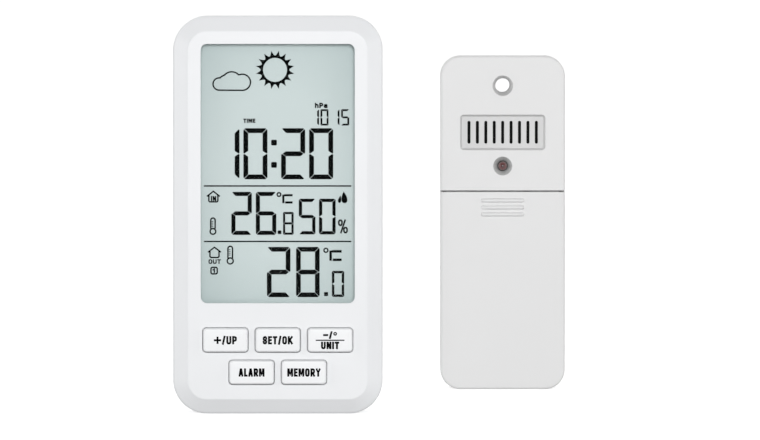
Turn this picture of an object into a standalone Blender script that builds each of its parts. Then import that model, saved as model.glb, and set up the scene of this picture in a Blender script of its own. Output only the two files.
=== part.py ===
"""Home weather station: a desk console with a segment display, and an outdoor radio sensor beside it.

Run with: blender --background --python part.py
The front faces -Y and +Z is up. The origin is the centre of the console's base. Sizes below are in
millimetres, and make_object turns them into Blender's metres.
"""

import math

import bmesh
import bpy
from mathutils import Vector

MM = 0.001
GAP = 0.3  # between neighbouring pieces
EDGE_OVERLAP = 0.5  # how far a cutter or a joined block runs past a face

# Console shell
CONSOLE_WIDTH = 65.0
CONSOLE_HEIGHT = 123.2
CONSOLE_DEPTH = 24.0
CONSOLE_CORNER = 10.5
CONSOLE_WALL = 2.0
CONSOLE_SPLIT = 13.0  # depth of the front case
RIM_WIDTH = 4.65  # sloped rim round the flat front panel
RIM_DEPTH = 3.2
BACK_EDGE = 2.0

# Display
WINDOW_WIDTH = 47.7
WINDOW_HEIGHT = 80.3
WINDOW_CORNER = 2.0
WINDOW_DROP = 8.5  # from the console's top to the window's top edge
WINDOW_RIM = 1.2  # panel thickness round the window
LENS_LAP = 1.4  # how far the lens runs behind the panel
LENS_THICKNESS = 1.2
LCD_LAP = 1.65
LCD_THICKNESS = 2.4
REFLECTOR_THICKNESS = 0.4
HOLDER_WALL = 1.2
ZEBRA_HEIGHT = 3.0
BOARD_THICKNESS = 1.2

# Buttons
BUTTON_WIDTH = 13.6
BUTTON_HEIGHT = 7.1
BUTTON_CORNER = 0.9
BUTTON_CLEARANCE = 0.4
BUTTON_SPACE = 2.6  # between two buttons of a row
BUTTON_ROW_1 = 23.0
BUTTON_ROW_2 = 13.0
BUTTON_PROUD = 1.2
BUTTON_FLANGE = 1.0
MAT_THICKNESS = 0.8
DOME_RADIUS = 2.4

# AAA cells
CELL_RADIUS = 5.25
CELL_LENGTH = 44.5
CELL_NUB_RADIUS = 1.9
CELL_NUB_LENGTH = 1.0
CELL_SPACE = 0.6
PLATE_THICKNESS = 0.4
SPRING_LENGTH = 3.8
SPRING_WIRE = 0.6
BAY_WALL = 1.2
CONSOLE_BAY_DROP = 35.2  # from the console's top to the middle of its battery bay
CONSOLE_DOOR = 1.8
CONSOLE_DOOR_LAP = 0.9
DOOR_GROOVE_COUNT = 6
DOOR_GROOVE_PITCH = 1.3
DOOR_GROOVE_START = 2.6  # from the bay's lower side to the lowest groove
DOOR_GROOVE = (11.0, 0.7)

# Fold-out stand
STAND_WIDTH = 31.0
STAND_LENGTH = 52.0
STAND_THICKNESS = 2.0
STAND_HINGE_HEIGHT = 61.5
STAND_PIN_RADIUS = 0.8
STAND_PIN_LENGTH = 1.6
RECESS_DEPTH = 2.6
RECESS_WALL = 3.3

# Air slots in the console's back
AIR_SLOT_COUNT = 6
AIR_SLOT_PITCH = 2.2
AIR_SLOT_START = 22.5  # height of the lowest one
AIR_SLOT = (7.0, 1.0)

# Screws
SCREW_RADIUS = 1.1
SCREW_LENGTH = 12.0
SCREW_HEAD_RADIUS = 2.1
SCREW_HEAD_HEIGHT = 1.6
SCREW_SINK = 1.1  # from the back face down to the head
CONSOLE_BOSS_INSET = 4.3  # boss axis from the case's side
CONSOLE_BOSS_END = 11.7  # boss axis from the case's top and bottom

# Sensor
SENSOR_WIDTH = 40.4
SENSOR_HEIGHT = 108.0
SENSOR_DEPTH = 18.0
SENSOR_CORNER = 6.5
SENSOR_WALL = 1.8
SENSOR_SPLIT = 9.4  # depth of its front case and its door
SENSOR_SPACING = 18.7  # from the console's side to the sensor's side
SENSOR_SETBACK = 140.8  # from the console's front face to the sensor's front face
SEAM_HEIGHT = 64.25
SEAM_GAP = 0.5
LOUVRE_WIDTH = 27.4
LOUVRE_HEIGHT = 11.4
LOUVRE_DEPTH = 0.9
LOUVRE_MIDDLE = 83.3
SLOT_COUNT = 9
SLOT_PITCH = 2.73
SLOT_WIDTH = 0.97
SLOT_HEIGHT = 7.4
HANG_HEIGHT = 98.4
HANG_RADIUS = 2.35
HANG_LIP = 0.9
HANG_WALL = 1.25
LED_HEIGHT = 72.4
LED_RADIUS = 1.6
LED_CONE_RADIUS = 3.05
LED_CONE_DEPTH = 1.0
SENSOR_SCREW_INWARD = 1.8  # how much nearer the middle the top pair of screws is
SENSOR_SCREW_RISE = 5.75  # of the low pair above the seam
SENSOR_BOARD_DEPTH = 8.0  # from the sensor's face to its board
RIB_COUNT = 3
RIB_WIDTH = 14.0
RIB_HEIGHT = 1.3
RIB_PITCH = 2.25
RIB_PROUD = 0.5
RIB_TOP = 61.25  # middle of the highest rib
KNOB_TRAVEL = 4.0

# Derived places
front_y = -CONSOLE_DEPTH / 2
back_y = CONSOLE_DEPTH / 2
split_y = front_y + CONSOLE_SPLIT
panel_back_y = front_y + CONSOLE_WALL
back_inner_y = back_y - CONSOLE_WALL
console_middle = CONSOLE_HEIGHT / 2
window_middle = CONSOLE_HEIGHT - WINDOW_DROP - WINDOW_HEIGHT / 2
lens_y = front_y + WINDOW_RIM + GAP
lcd_y = lens_y + LENS_THICKNESS + GAP
reflector_y = lcd_y + LCD_THICKNESS + GAP
board_y = reflector_y + REFLECTOR_THICKNESS + GAP
board_back_y = board_y + BOARD_THICKNESS + GAP  # where what is mounted on its back starts
button_pitch = BUTTON_WIDTH + BUTTON_SPACE
bay_length = CELL_LENGTH + PLATE_THICKNESS + SPRING_LENGTH + 4 * GAP
cell_pitch = 2 * CELL_RADIUS + CELL_SPACE
bay_height = 2 * cell_pitch
console_bay_z = CONSOLE_HEIGHT - CONSOLE_BAY_DROP
console_cell_y = back_y - CONSOLE_DOOR - CELL_SPACE - CELL_RADIUS
sensor_x = CONSOLE_WIDTH / 2 + SENSOR_SPACING + SENSOR_WIDTH / 2
sensor_y = front_y + SENSOR_SETBACK
sensor_back_inner = SENSOR_DEPTH - SENSOR_WALL
sensor_cell_y = sensor_back_inner - CELL_SPACE - CELL_RADIUS
sensor_bay_z = SENSOR_WALL + CELL_SPACE + 2 * BAY_WALL + bay_length / 2

# Finishes: colour, roughness, metallic
FINISHES = {
    "white_case": ((0.86, 0.86, 0.87), 0.42, 0.0),
    "white_key": ((0.88, 0.88, 0.89), 0.45, 0.0),
    "clear_lens": ((0.86, 0.9, 0.9), 0.05, 0.0),
    "display_glass": ((0.58, 0.66, 0.65), 0.25, 0.0),
    "reflector_sheet": ((0.75, 0.78, 0.76), 0.4, 0.0),
    "inner_plastic": ((0.8, 0.8, 0.78), 0.5, 0.0),
    "black_rubber": ((0.03, 0.03, 0.03), 0.7, 0.0),
    "grey_rubber": ((0.35, 0.36, 0.37), 0.7, 0.0),
    "green_board": ((0.03, 0.2, 0.08), 0.35, 0.0),
    "black_chip": ((0.02, 0.02, 0.02), 0.3, 0.0),
    "bright_metal": ((0.75, 0.75, 0.74), 0.25, 1.0),
    "brass": ((0.72, 0.55, 0.25), 0.3, 1.0),
    "copper_wire": ((0.72, 0.32, 0.14), 0.35, 1.0),
    "ferrite": ((0.06, 0.06, 0.065), 0.5, 0.0),
    "battery_jacket": ((0.1, 0.25, 0.45), 0.35, 0.0),
    "signal_light": ((0.6, 0.04, 0.04), 0.12, 0.0),
}

LARGE_STEPS = 7  # points in a case's corner arc
SMALL_STEPS = 3
LEAST_CORNER = 0.15
ALONG_X = Vector((1, 0, 0))
ALONG_Y = Vector((0, 1, 0))
ALONG_Z = Vector((0, 0, 1))


def skin(bm, rings, closed=False):
    """Faces between each ring and the next, and a cap on both ends unless the rings close a loop."""
    pairs = list(zip(rings, rings[1:]))
    if closed:
        pairs.append((rings[-1], rings[0]))
    else:
        bm.faces.new(rings[0])
        bm.faces.new(rings[-1])
    for ring, following in pairs:
        for i in range(len(ring)):
            j = (i + 1) % len(ring)
            bm.faces.new((ring[i], ring[j], following[j], following[i]))


def outline(width, height, radius, steps):
    """Points (x, z) of a rounded rectangle about the origin."""
    points = []
    for quarter in range(4):
        across = (width / 2 - radius) * (1 if quarter in (0, 3) else -1)
        up = (height / 2 - radius) * (1 if quarter in (0, 1) else -1)
        for step in range(steps + 1):
            angle = math.pi / 2 * (quarter + step / steps)
            points.append((across + radius * math.cos(angle), up + radius * math.sin(angle)))
    return points


def prism(bm, middle, size, radius, profile, steps=SMALL_STEPS):
    """Rounded rectangles about middle (x, z), one for each (y, inset) of the profile, skinned in order."""
    rings = []
    for y, inset in profile:
        corner = max(radius - inset, LEAST_CORNER)
        points = outline(size[0] - 2 * inset, size[1] - 2 * inset, corner, steps)
        rings.append([bm.verts.new((middle[0] + x, y, middle[1] + z)) for x, z in points])
    skin(bm, rings)


def turned(bm, start, axis, profile, sides=16, closed=False):
    """A round body from start along axis, with a ring for each (distance, radius) of the profile."""
    turn = axis.to_track_quat("Z", "Y").to_matrix()
    rings = []
    for distance, radius in profile:
        angles = [2 * math.pi * i / sides for i in range(sides)]
        points = [Vector((radius * math.cos(a), radius * math.sin(a), distance)) for a in angles]
        rings.append([bm.verts.new(Vector(start) + turn @ point) for point in points])
    skin(bm, rings, closed)


def box(bm, middle, size):
    """A block about middle with edges along the axes."""
    half = Vector(size) / 2
    corners = ((-1, -1), (1, -1), (1, 1), (-1, 1))
    rings = []
    for z in (-1, 1):
        offsets = [Vector((x * half.x, y * half.y, z * half.z)) for x, y in corners]
        rings.append([bm.verts.new(Vector(middle) + offset) for offset in offsets])
    skin(bm, rings)


def extrude_x(bm, points, x_low, x_high):
    """An outline of (y, z) points run from x_low to x_high."""
    skin(bm, [[bm.verts.new((x, y, z)) for y, z in points] for x in (x_low, x_high)])


def coil(bm, start, axis, radius, wire, length, turns, sides=4, steps=8):
    """A round wire wound about the axis, its ends flush with start and start + length."""
    turn = axis.to_track_quat("Z", "Y").to_matrix()
    rings = []
    count = turns * steps
    for i in range(count + 1):
        angle = 2 * math.pi * i / steps
        outward = Vector((math.cos(angle), math.sin(angle), 0))
        middle = outward * radius + ALONG_Z * (wire / 2 + (length - wire) * i / count)
        ring = []
        for k in range(sides):
            around = 2 * math.pi * k / sides
            point = middle + (outward * math.cos(around) + ALONG_Z * math.sin(around)) * wire / 2
            ring.append(bm.verts.new(Vector(start) + turn @ point))
        rings.append(ring)
    skin(bm, rings)


def make_material(name, finish):
    colour, roughness, metallic = FINISHES[finish]
    material = bpy.data.materials.new(name)
    material.use_nodes = True
    shader = material.node_tree.nodes["Principled BSDF"]
    shader.inputs["Base Color"].default_value = (*colour, 1)
    shader.inputs["Roughness"].default_value = roughness
    shader.inputs["Metallic"].default_value = metallic
    material.diffuse_color = (*colour, 1)
    return material


def make_object(bm, name, finish=None, parent=None, origin=(0, 0, 0)):
    """The bmesh as an object with its origin at origin. Without a finish it is a cutter or a joined block."""
    bmesh.ops.remove_doubles(bm, verts=bm.verts, dist=1e-4)
    bmesh.ops.recalc_face_normals(bm, faces=bm.faces)
    bmesh.ops.translate(bm, verts=bm.verts, vec=-Vector(origin))
    bmesh.ops.scale(bm, verts=bm.verts, vec=(MM, MM, MM))
    mesh = bpy.data.meshes.new(name)
    bm.to_mesh(mesh)
    bm.free()
    mesh.shade_smooth()
    mesh.set_sharp_from_angle(angle=math.radians(30))
    made = bpy.data.objects.new(name, mesh)
    bpy.context.scene.collection.objects.link(made)
    made.parent = parent
    made.location = Vector(origin) * MM
    if finish:
        mesh.materials.append(make_material(name, finish))
    else:
        made.hide_render = True
        made.display_type = "WIRE"
    return made


def combine(target, tool, operation):
    """A live Boolean of target with tool: DIFFERENCE or UNION."""
    modifier = target.modifiers.new(tool.name, "BOOLEAN")
    modifier.operation = operation
    modifier.solver = "EXACT"
    modifier.object = tool


def make_empty(name, location):
    empty = bpy.data.objects.new(name, None)
    bpy.context.scene.collection.objects.link(empty)
    empty.location = Vector(location) * MM
    return empty


def screw_places():
    """(x, z) of the console's four screws."""
    x = CONSOLE_WIDTH / 2 - CONSOLE_BOSS_INSET
    heights = (CONSOLE_HEIGHT - CONSOLE_BOSS_END, CONSOLE_BOSS_END)
    return [(side * x, z) for z in heights for side in (-1, 1)]


def sensor_screw_places():
    x = SENSOR_WIDTH / 2 - SENSOR_WALL - SCREW_HEAD_RADIUS - GAP
    top = SENSOR_HEIGHT - SENSOR_WALL - SCREW_HEAD_RADIUS - 2 * GAP
    rows = ((SENSOR_SCREW_INWARD, top), (0, SEAM_HEIGHT + SENSOR_SCREW_RISE))
    return [(side * (x - inward), z) for inward, z in rows for side in (-1, 1)]


def button_places():
    """Button names with their (x, z)."""
    return {
        "button_plus": (-button_pitch, BUTTON_ROW_1),
        "button_set": (0, BUTTON_ROW_1),
        "button_minus": (button_pitch, BUTTON_ROW_1),
        "button_alarm": (-button_pitch / 2, BUTTON_ROW_2),
        "button_memory": (button_pitch / 2, BUTTON_ROW_2),
    }


def make_console_front(parent):
    size = (CONSOLE_WIDTH, CONSOLE_HEIGHT)
    middle = (0, console_middle)
    bm = bmesh.new()
    rim_y = front_y + RIM_DEPTH
    outside = [
        (front_y, RIM_WIDTH + 0.5),
        (front_y + 0.15, RIM_WIDTH),
        (rim_y - 0.3, 0.25),
        (rim_y + 0.5, 0),
        (split_y, 0),
    ]
    prism(bm, middle, size, CONSOLE_CORNER, outside, LARGE_STEPS)
    case = make_object(bm, "console_front_case", "white_case", parent)

    bm = bmesh.new()
    inside = [
        (panel_back_y, RIM_WIDTH + 1.55),
        (panel_back_y + 2.7, CONSOLE_WALL),
        (split_y + EDGE_OVERLAP, CONSOLE_WALL),
    ]
    prism(bm, middle, size, CONSOLE_CORNER, inside, LARGE_STEPS)
    combine(case, make_object(bm, "console_front_hollow", parent=parent), "DIFFERENCE")

    bm = bmesh.new()
    window = (0, window_middle)
    opening = [(front_y - EDGE_OVERLAP, 0), (panel_back_y, 0)]
    prism(bm, window, (WINDOW_WIDTH, WINDOW_HEIGHT), WINDOW_CORNER, opening)
    for x, z in button_places().values():
        hole = (BUTTON_WIDTH + 2 * BUTTON_CLEARANCE, BUTTON_HEIGHT + 2 * BUTTON_CLEARANCE)
        corner = BUTTON_CORNER + BUTTON_CLEARANCE
        prism(bm, (x, z), hole, corner, [(front_y - EDGE_OVERLAP, 0), (panel_back_y + EDGE_OVERLAP, 0)])
    combine(case, make_object(bm, "console_front_openings", parent=parent), "DIFFERENCE")

    bm = bmesh.new()
    lap = 2 * (LENS_LAP + GAP)
    pocket = [(front_y + WINDOW_RIM, 0), (panel_back_y + EDGE_OVERLAP, 0)]
    prism(bm, window, (WINDOW_WIDTH + lap, WINDOW_HEIGHT + lap), WINDOW_CORNER + lap / 2, pocket)
    combine(case, make_object(bm, "lens_pocket", parent=parent), "DIFFERENCE")

    block = 2 * (SCREW_HEAD_RADIUS + 3.5 * GAP)
    for i, (x, z) in enumerate(screw_places()):
        bm = bmesh.new()
        low, high = board_back_y + 0.2, split_y
        box(bm, (x, (low + high) / 2, z), (block, high - low, block))
        combine(case, make_object(bm, f"front_boss_{i + 1}", parent=parent), "UNION")
    bm = bmesh.new()
    for x, z in screw_places():
        tip = back_y - SCREW_SINK - SCREW_HEAD_HEIGHT - SCREW_LENGTH - GAP
        hole = SCREW_RADIUS + GAP
        turned(bm, (x, tip, z), ALONG_Y, [(0, hole), (split_y + 1 - tip, hole)], 12)
    combine(case, make_object(bm, "front_screw_holes", parent=parent), "DIFFERENCE")


def make_display(parent):
    window = (0, window_middle)
    pieces = (
        ("display_lens", "clear_lens", LENS_LAP, lens_y, LENS_THICKNESS),
        ("lcd_glass", "display_glass", LCD_LAP, lcd_y, LCD_THICKNESS),
    )
    for name, finish, lap, y, thickness in pieces:
        bm = bmesh.new()
        size = (WINDOW_WIDTH + 2 * lap, WINDOW_HEIGHT + 2 * lap)
        prism(bm, window, size, WINDOW_CORNER + lap, [(y, 0), (y + thickness, 0)])
        make_object(bm, name, finish, parent)

    lcd_bottom = window_middle - WINDOW_HEIGHT / 2 - LCD_LAP
    lcd_top = window_middle + WINDOW_HEIGHT / 2 + LCD_LAP
    sheet_bottom = lcd_bottom + ZEBRA_HEIGHT + 2 * GAP
    bm = bmesh.new()
    sheet = (WINDOW_WIDTH + 2 * LCD_LAP, lcd_top - sheet_bottom)
    place = (0, (lcd_top + sheet_bottom) / 2)
    back = reflector_y + REFLECTOR_THICKNESS
    prism(bm, place, sheet, WINDOW_CORNER + LCD_LAP, [(reflector_y, 0), (back, 0)])
    make_object(bm, "lcd_reflector", "reflector_sheet", parent)

    bm = bmesh.new()
    strip = (WINDOW_WIDTH, REFLECTOR_THICKNESS, ZEBRA_HEIGHT)
    box(bm, (0, reflector_y + REFLECTOR_THICKNESS / 2, lcd_bottom + GAP + ZEBRA_HEIGHT / 2), strip)
    make_object(bm, "zebra_strip", "black_rubber", parent)

    bm = bmesh.new()
    inner = LCD_LAP + GAP
    outer = inner + HOLDER_WALL
    outer_size = (WINDOW_WIDTH + 2 * outer, WINDOW_HEIGHT + 2 * outer)
    prism(bm, window, outer_size, WINDOW_CORNER + outer, [(lcd_y, 0), (back, 0)])
    holder = make_object(bm, "lcd_holder", "inner_plastic", parent)
    bm = bmesh.new()
    through = [(lcd_y - EDGE_OVERLAP, 0), (back + EDGE_OVERLAP, 0)]
    inner_size = (WINDOW_WIDTH + 2 * inner, WINDOW_HEIGHT + 2 * inner)
    prism(bm, window, inner_size, WINDOW_CORNER + inner, through)
    combine(holder, make_object(bm, "holder_opening", parent=parent), "DIFFERENCE")


def make_buttons(parent):
    """Caps with a flange behind the panel, and the rubber mat with a dome behind each."""
    face = front_y - BUTTON_PROUD
    flange_y = panel_back_y + GAP
    mat_y = board_y - GAP - MAT_THICKNESS
    for name, (x, z) in button_places().items():
        bm = bmesh.new()
        size = (BUTTON_WIDTH, BUTTON_HEIGHT)
        cap = [(face, 0.6), (face + 0.15, 0.25), (face + 0.5, 0), (flange_y + 0.2, 0)]
        prism(bm, (x, z), size, BUTTON_CORNER, cap)
        button = make_object(bm, name, "white_key", parent, origin=(x, face, z))
        bm = bmesh.new()
        wide = [(flange_y, -BUTTON_FLANGE), (flange_y + BUTTON_FLANGE, -BUTTON_FLANGE)]
        prism(bm, (x, z), size, BUTTON_CORNER, wide)
        flange = make_object(bm, name + "_flange", parent=parent)
        combine(button, flange, "UNION")

    span = 2 * button_pitch + BUTTON_WIDTH
    low, high = BUTTON_ROW_2 - BUTTON_HEIGHT / 2, BUTTON_ROW_1 + BUTTON_HEIGHT / 2
    bm = bmesh.new()
    prism(bm, (0, (low + high) / 2), (span, high - low), 1, [(mat_y, 0), (mat_y + MAT_THICKNESS, 0)])
    mat = make_object(bm, "keypad_mat", "grey_rubber", parent)
    bm = bmesh.new()
    for x, z in button_places().values():
        rise = mat_y - (flange_y + BUTTON_FLANGE) - BUTTON_PROUD
        top = DOME_RADIUS - 0.8
        dome = [(-rise, top), (0.3 - rise, top + 0.4), (MAT_THICKNESS / 2, DOME_RADIUS)]
        turned(bm, (x, mat_y, z), ALONG_Y, dome, 12)
    combine(mat, make_object(bm, "keypad_domes", parent=parent), "UNION")


def make_console_board(parent):
    bm = bmesh.new()
    margin = CONSOLE_WALL + 2.5
    size = (CONSOLE_WIDTH - 2 * margin, CONSOLE_HEIGHT - 2 * margin)
    faces = [(board_y, 0), (board_y + BOARD_THICKNESS, 0)]
    prism(bm, (0, console_middle), size, CONSOLE_CORNER - margin, faces)
    make_object(bm, "main_board", "green_board", parent)

    bm = bmesh.new()
    turned(bm, (0, board_back_y, 52), ALONG_Y, [(0, 6.5), (0.7, 5.6), (1.2, 3.2)])
    make_object(bm, "chip_blob", "black_chip", parent)

    bm = bmesh.new()
    turned(bm, (10, board_back_y + 1, 62), ALONG_X, [(0, 1), (6, 1)], 10)
    make_object(bm, "clock_crystal", "bright_metal", parent)

    bm = bmesh.new()
    turned(bm, (9, board_back_y, 22), ALONG_Y, [(0, 6), (3, 6), (3.4, 5.4), (3.4, 1.2), (2.6, 1.0)])
    make_object(bm, "alarm_sounder", "black_chip", parent)

    side = CONSOLE_WIDTH / 2 - CONSOLE_WALL - 6
    blocks = (
        ("indoor_probe", "inner_plastic", (-side, 28), (5, 1.4, 6)),
        ("pressure_sensor", "bright_metal", (side, 44), (3, 1, 3)),
        ("receiver_module", "green_board", (-side + 2, 66), (10, 1.2, 9)),
    )
    for name, finish, (x, z), size in blocks:
        bm = bmesh.new()
        box(bm, (x, board_back_y + size[1] / 2, z), size)
        make_object(bm, name, finish, parent)

    bm = bmesh.new()
    coil(bm, (-side, 2, 38), ALONG_Z, 1.9, 0.8, 16, 5)
    make_object(bm, "receiver_aerial", "copper_wire", parent)

    rod_z = console_bay_z + bay_height / 2 + CONSOLE_DOOR_LAP + BAY_WALL + 5
    rod_length = WINDOW_WIDTH - 3
    rod_y = back_y / 3
    bm = bmesh.new()
    rod = [(0, 2.7), (0.3, 3), (rod_length - 0.3, 3), (rod_length, 2.7)]
    turned(bm, (-rod_length / 2, rod_y, rod_z), ALONG_X, rod)
    make_object(bm, "clock_aerial_rod", "ferrite", parent)
    bm = bmesh.new()
    winding = [(0, 3.3), (0, 4.2), (14, 4.2), (14, 3.3)]
    turned(bm, (-7, rod_y, rod_z), ALONG_X, winding, closed=True)
    make_object(bm, "clock_aerial_winding", "copper_wire", parent)


def make_cells(prefix, middle, along, across, parent):
    """Two AAA cells head to tail, each with a spring on its flat end and a plate on its nub."""
    nub_end = bay_length / 2 - 2 * GAP - PLATE_THICKNESS
    body = CELL_LENGTH - CELL_NUB_LENGTH
    for i, side in enumerate((1, -1)):
        direction = along * side
        axis_point = Vector(middle) + across * (side * cell_pitch / 2)
        bm = bmesh.new()
        profile = [
            (0, CELL_RADIUS - 0.6),
            (0.6, CELL_RADIUS),
            (body - 0.6, CELL_RADIUS),
            (body, CELL_RADIUS - 0.6),
            (body, CELL_NUB_RADIUS),
            (CELL_LENGTH, CELL_NUB_RADIUS),
        ]
        turned(bm, axis_point + direction * (nub_end - CELL_LENGTH), direction, profile, 20)
        make_object(bm, f"{prefix}_battery_{i + 1}", "battery_jacket", parent)

        bm = bmesh.new()
        spring_start = axis_point - direction * (bay_length / 2 - GAP)
        coil(bm, spring_start, direction, CELL_RADIUS * 0.55, SPRING_WIRE, SPRING_LENGTH, 3)
        make_object(bm, f"{prefix}_spring_{i + 1}", "bright_metal", parent)

        bm = bmesh.new()
        width = 1.5 * CELL_RADIUS
        plate = along * PLATE_THICKNESS + across * width + ALONG_Y * width
        box(bm, axis_point + direction * (nub_end + GAP + PLATE_THICKNESS / 2), plate)
        make_object(bm, f"{prefix}_contact_{i + 1}", "brass", parent)


def make_screw(name, place, head_y, parent):
    """A pan-head screw that points to -Y, with its head's top at head_y."""
    bm = bmesh.new()
    r, head = SCREW_RADIUS, SCREW_HEAD_RADIUS
    profile = [
        (0, head - 0.5),
        (0.4, head),
        (SCREW_HEAD_HEIGHT, head),
        (SCREW_HEAD_HEIGHT, r),
        (SCREW_HEAD_HEIGHT + SCREW_LENGTH - 1.2, r),
        (SCREW_HEAD_HEIGHT + SCREW_LENGTH, 0.3),
    ]
    turned(bm, (place[0], head_y, place[1]), -ALONG_Y, profile, 12)
    make_object(bm, name, "bright_metal", parent)


def cut_screw_wells(case, places, face_y, start_y, prefix, parent):
    """Clearance holes from start_y and head wells from face_y, for screws that point to -Y."""
    head_seat = face_y - SCREW_SINK - SCREW_HEAD_HEIGHT - GAP
    hole = SCREW_RADIUS + GAP
    well = SCREW_HEAD_RADIUS + GAP
    bm = bmesh.new()
    for x, z in places:
        low = start_y - EDGE_OVERLAP
        profile = [(0, hole), (head_seat - low, hole), (head_seat - low, well), (face_y + 1 - low, well)]
        turned(bm, (x, low, z), ALONG_Y, profile, 12)
    combine(case, make_object(bm, prefix + "_screw_wells", parent=parent), "DIFFERENCE")


def make_console_back(parent):
    size = (CONSOLE_WIDTH, CONSOLE_HEIGHT)
    middle = (0, console_middle)
    start = split_y + GAP
    bm = bmesh.new()
    outside = [(start, 0), (back_y - BACK_EDGE, 0), (back_y - 0.6, 0.7), (back_y, BACK_EDGE)]
    prism(bm, middle, size, CONSOLE_CORNER, outside, LARGE_STEPS)
    case = make_object(bm, "console_back_case", "white_case", parent)
    bm = bmesh.new()
    inside = [
        (start - EDGE_OVERLAP, CONSOLE_WALL),
        (back_inner_y - 1, CONSOLE_WALL),
        (back_inner_y, CONSOLE_WALL + 1),
    ]
    prism(bm, middle, size, CONSOLE_CORNER, inside, LARGE_STEPS)
    combine(case, make_object(bm, "console_back_hollow", parent=parent), "DIFFERENCE")

    # Battery bay: its outer block, then its inside, then the step that the door sits in
    bay = (0, console_bay_z)
    floor_y = console_cell_y - CELL_RADIUS - GAP
    door_lap = CONSOLE_DOOR_LAP
    bm = bmesh.new()
    rim = 2 * (door_lap + BAY_WALL)
    prism(bm, bay, (bay_length + rim, bay_height + rim), 1, [(floor_y - BAY_WALL, 0), (back_y - 1, 0)])
    combine(case, make_object(bm, "bay_block", parent=parent), "UNION")
    bm = bmesh.new()
    prism(bm, bay, (bay_length, bay_height), 0.5, [(floor_y, 0), (back_y + 1, 0)])
    combine(case, make_object(bm, "bay_inside", parent=parent), "DIFFERENCE")
    bm = bmesh.new()
    step = [(back_y - CONSOLE_DOOR - GAP, 0), (back_y + 1, 0)]
    door_size = (bay_length + 2 * door_lap, bay_height + 2 * door_lap)
    prism(bm, bay, door_size, 1.5, step)
    combine(case, make_object(bm, "door_step", parent=parent), "DIFFERENCE")

    # Recess of the folded stand, with side walls that hold its pins
    recess_y = back_y - RECESS_DEPTH
    recess_low = STAND_HINGE_HEIGHT - STAND_LENGTH - GAP
    recess_high = STAND_HINGE_HEIGHT + STAND_THICKNESS / 2 + GAP
    recess = (0, (recess_low + recess_high) / 2)
    recess_size = (STAND_WIDTH + 2 * GAP, recess_high - recess_low)
    bm = bmesh.new()
    wide = 2 * RECESS_WALL
    block = (recess_size[0] + wide, recess_size[1] + wide)
    prism(bm, recess, block, 1, [(recess_y - BAY_WALL, 0), (back_y - 1, 0)])
    combine(case, make_object(bm, "recess_block", parent=parent), "UNION")
    bm = bmesh.new()
    prism(bm, recess, recess_size, 0.5, [(recess_y, 0), (back_y + 1, 0)])
    combine(case, make_object(bm, "recess_inside", parent=parent), "DIFFERENCE")
    bm = bmesh.new()
    notch = RECESS_WALL - 0.8
    turned(bm, (0, recess_y, recess_low), ALONG_Y, [(0, notch), (RECESS_DEPTH + 1, notch + 1.2)], 16)
    combine(case, make_object(bm, "finger_notch", parent=parent), "DIFFERENCE")
    bm = bmesh.new()
    reach = STAND_WIDTH / 2 + STAND_PIN_LENGTH + GAP
    pin_hole = STAND_PIN_RADIUS + GAP
    hinge_y = back_y - STAND_THICKNESS / 2 - GAP
    turned(bm, (-reach, hinge_y, STAND_HINGE_HEIGHT), ALONG_X, [(0, pin_hole), (2 * reach, pin_hole)], 12)
    combine(case, make_object(bm, "pin_holes", parent=parent), "DIFFERENCE")

    block = 2 * (SCREW_HEAD_RADIUS + 3.5 * GAP)
    for i, (x, z) in enumerate(screw_places()):
        bm = bmesh.new()
        box(bm, (x, (start + back_y - 1) / 2, z), (block, back_y - 1 - start, block))
        combine(case, make_object(bm, f"back_boss_{i + 1}", parent=parent), "UNION")
    cut_screw_wells(case, screw_places(), back_y, start, "console", parent)

    # Air slots beside the recess, in front of the indoor probe
    bm = bmesh.new()
    slot_x = -(CONSOLE_WIDTH / 2 - CONSOLE_WALL - 6)
    for i in range(AIR_SLOT_COUNT):
        z = AIR_SLOT_START + AIR_SLOT_PITCH * i
        prism(bm, (slot_x, z), AIR_SLOT, 0.4, [(back_inner_y - 1, 0), (back_y + 1, 0)], 2)
    combine(case, make_object(bm, "air_slots", parent=parent), "DIFFERENCE")


def make_console_door(parent):
    clearance = 2 * (CONSOLE_DOOR_LAP - GAP)
    size = (bay_length + clearance, bay_height + clearance)
    place = (0, console_bay_z)
    bm = bmesh.new()
    prism(bm, place, size, 1.2, [(back_y - CONSOLE_DOOR, 0), (back_y - 0.3, 0), (back_y, 0.3)])
    door = make_object(bm, "console_battery_door", "white_case", parent, origin=(0, back_y, console_bay_z))
    bm = bmesh.new()
    for i in range(DOOR_GROOVE_COUNT):
        z = console_bay_z - bay_height / 2 + DOOR_GROOVE_START + DOOR_GROOVE_PITCH * i
        prism(bm, (0, z), DOOR_GROOVE, 0.3, [(back_y - 0.5, 0), (back_y + 1, 0)], 2)
    combine(door, make_object(bm, "door_grip_grooves", parent=parent), "DIFFERENCE")


def make_stand(parent):
    """A plate that lies in the recess, with a pin on each side at its top."""
    half = STAND_THICKNESS / 2
    hinge_y = back_y - half - GAP
    top = STAND_HINGE_HEIGHT
    arc = [math.pi * i / 6 for i in range(7)]
    points = [(hinge_y + half * math.cos(a), top + half * math.sin(a)) for a in arc]
    points += [(hinge_y - half, top - STAND_LENGTH), (hinge_y + half - 0.4, top - STAND_LENGTH)]
    points += [(hinge_y + half, top - STAND_LENGTH + 0.4)]
    bm = bmesh.new()
    extrude_x(bm, points, -STAND_WIDTH / 2, STAND_WIDTH / 2)
    stand = make_object(bm, "console_stand", "white_case", parent, origin=(0, hinge_y, top))
    bm = bmesh.new()
    reach = STAND_WIDTH / 2 + STAND_PIN_LENGTH
    turned(bm, (-reach, hinge_y, top), ALONG_X, [(0, STAND_PIN_RADIUS), (2 * reach, STAND_PIN_RADIUS)], 12)
    combine(stand, make_object(bm, "stand_pins", parent=parent), "UNION")


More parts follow.
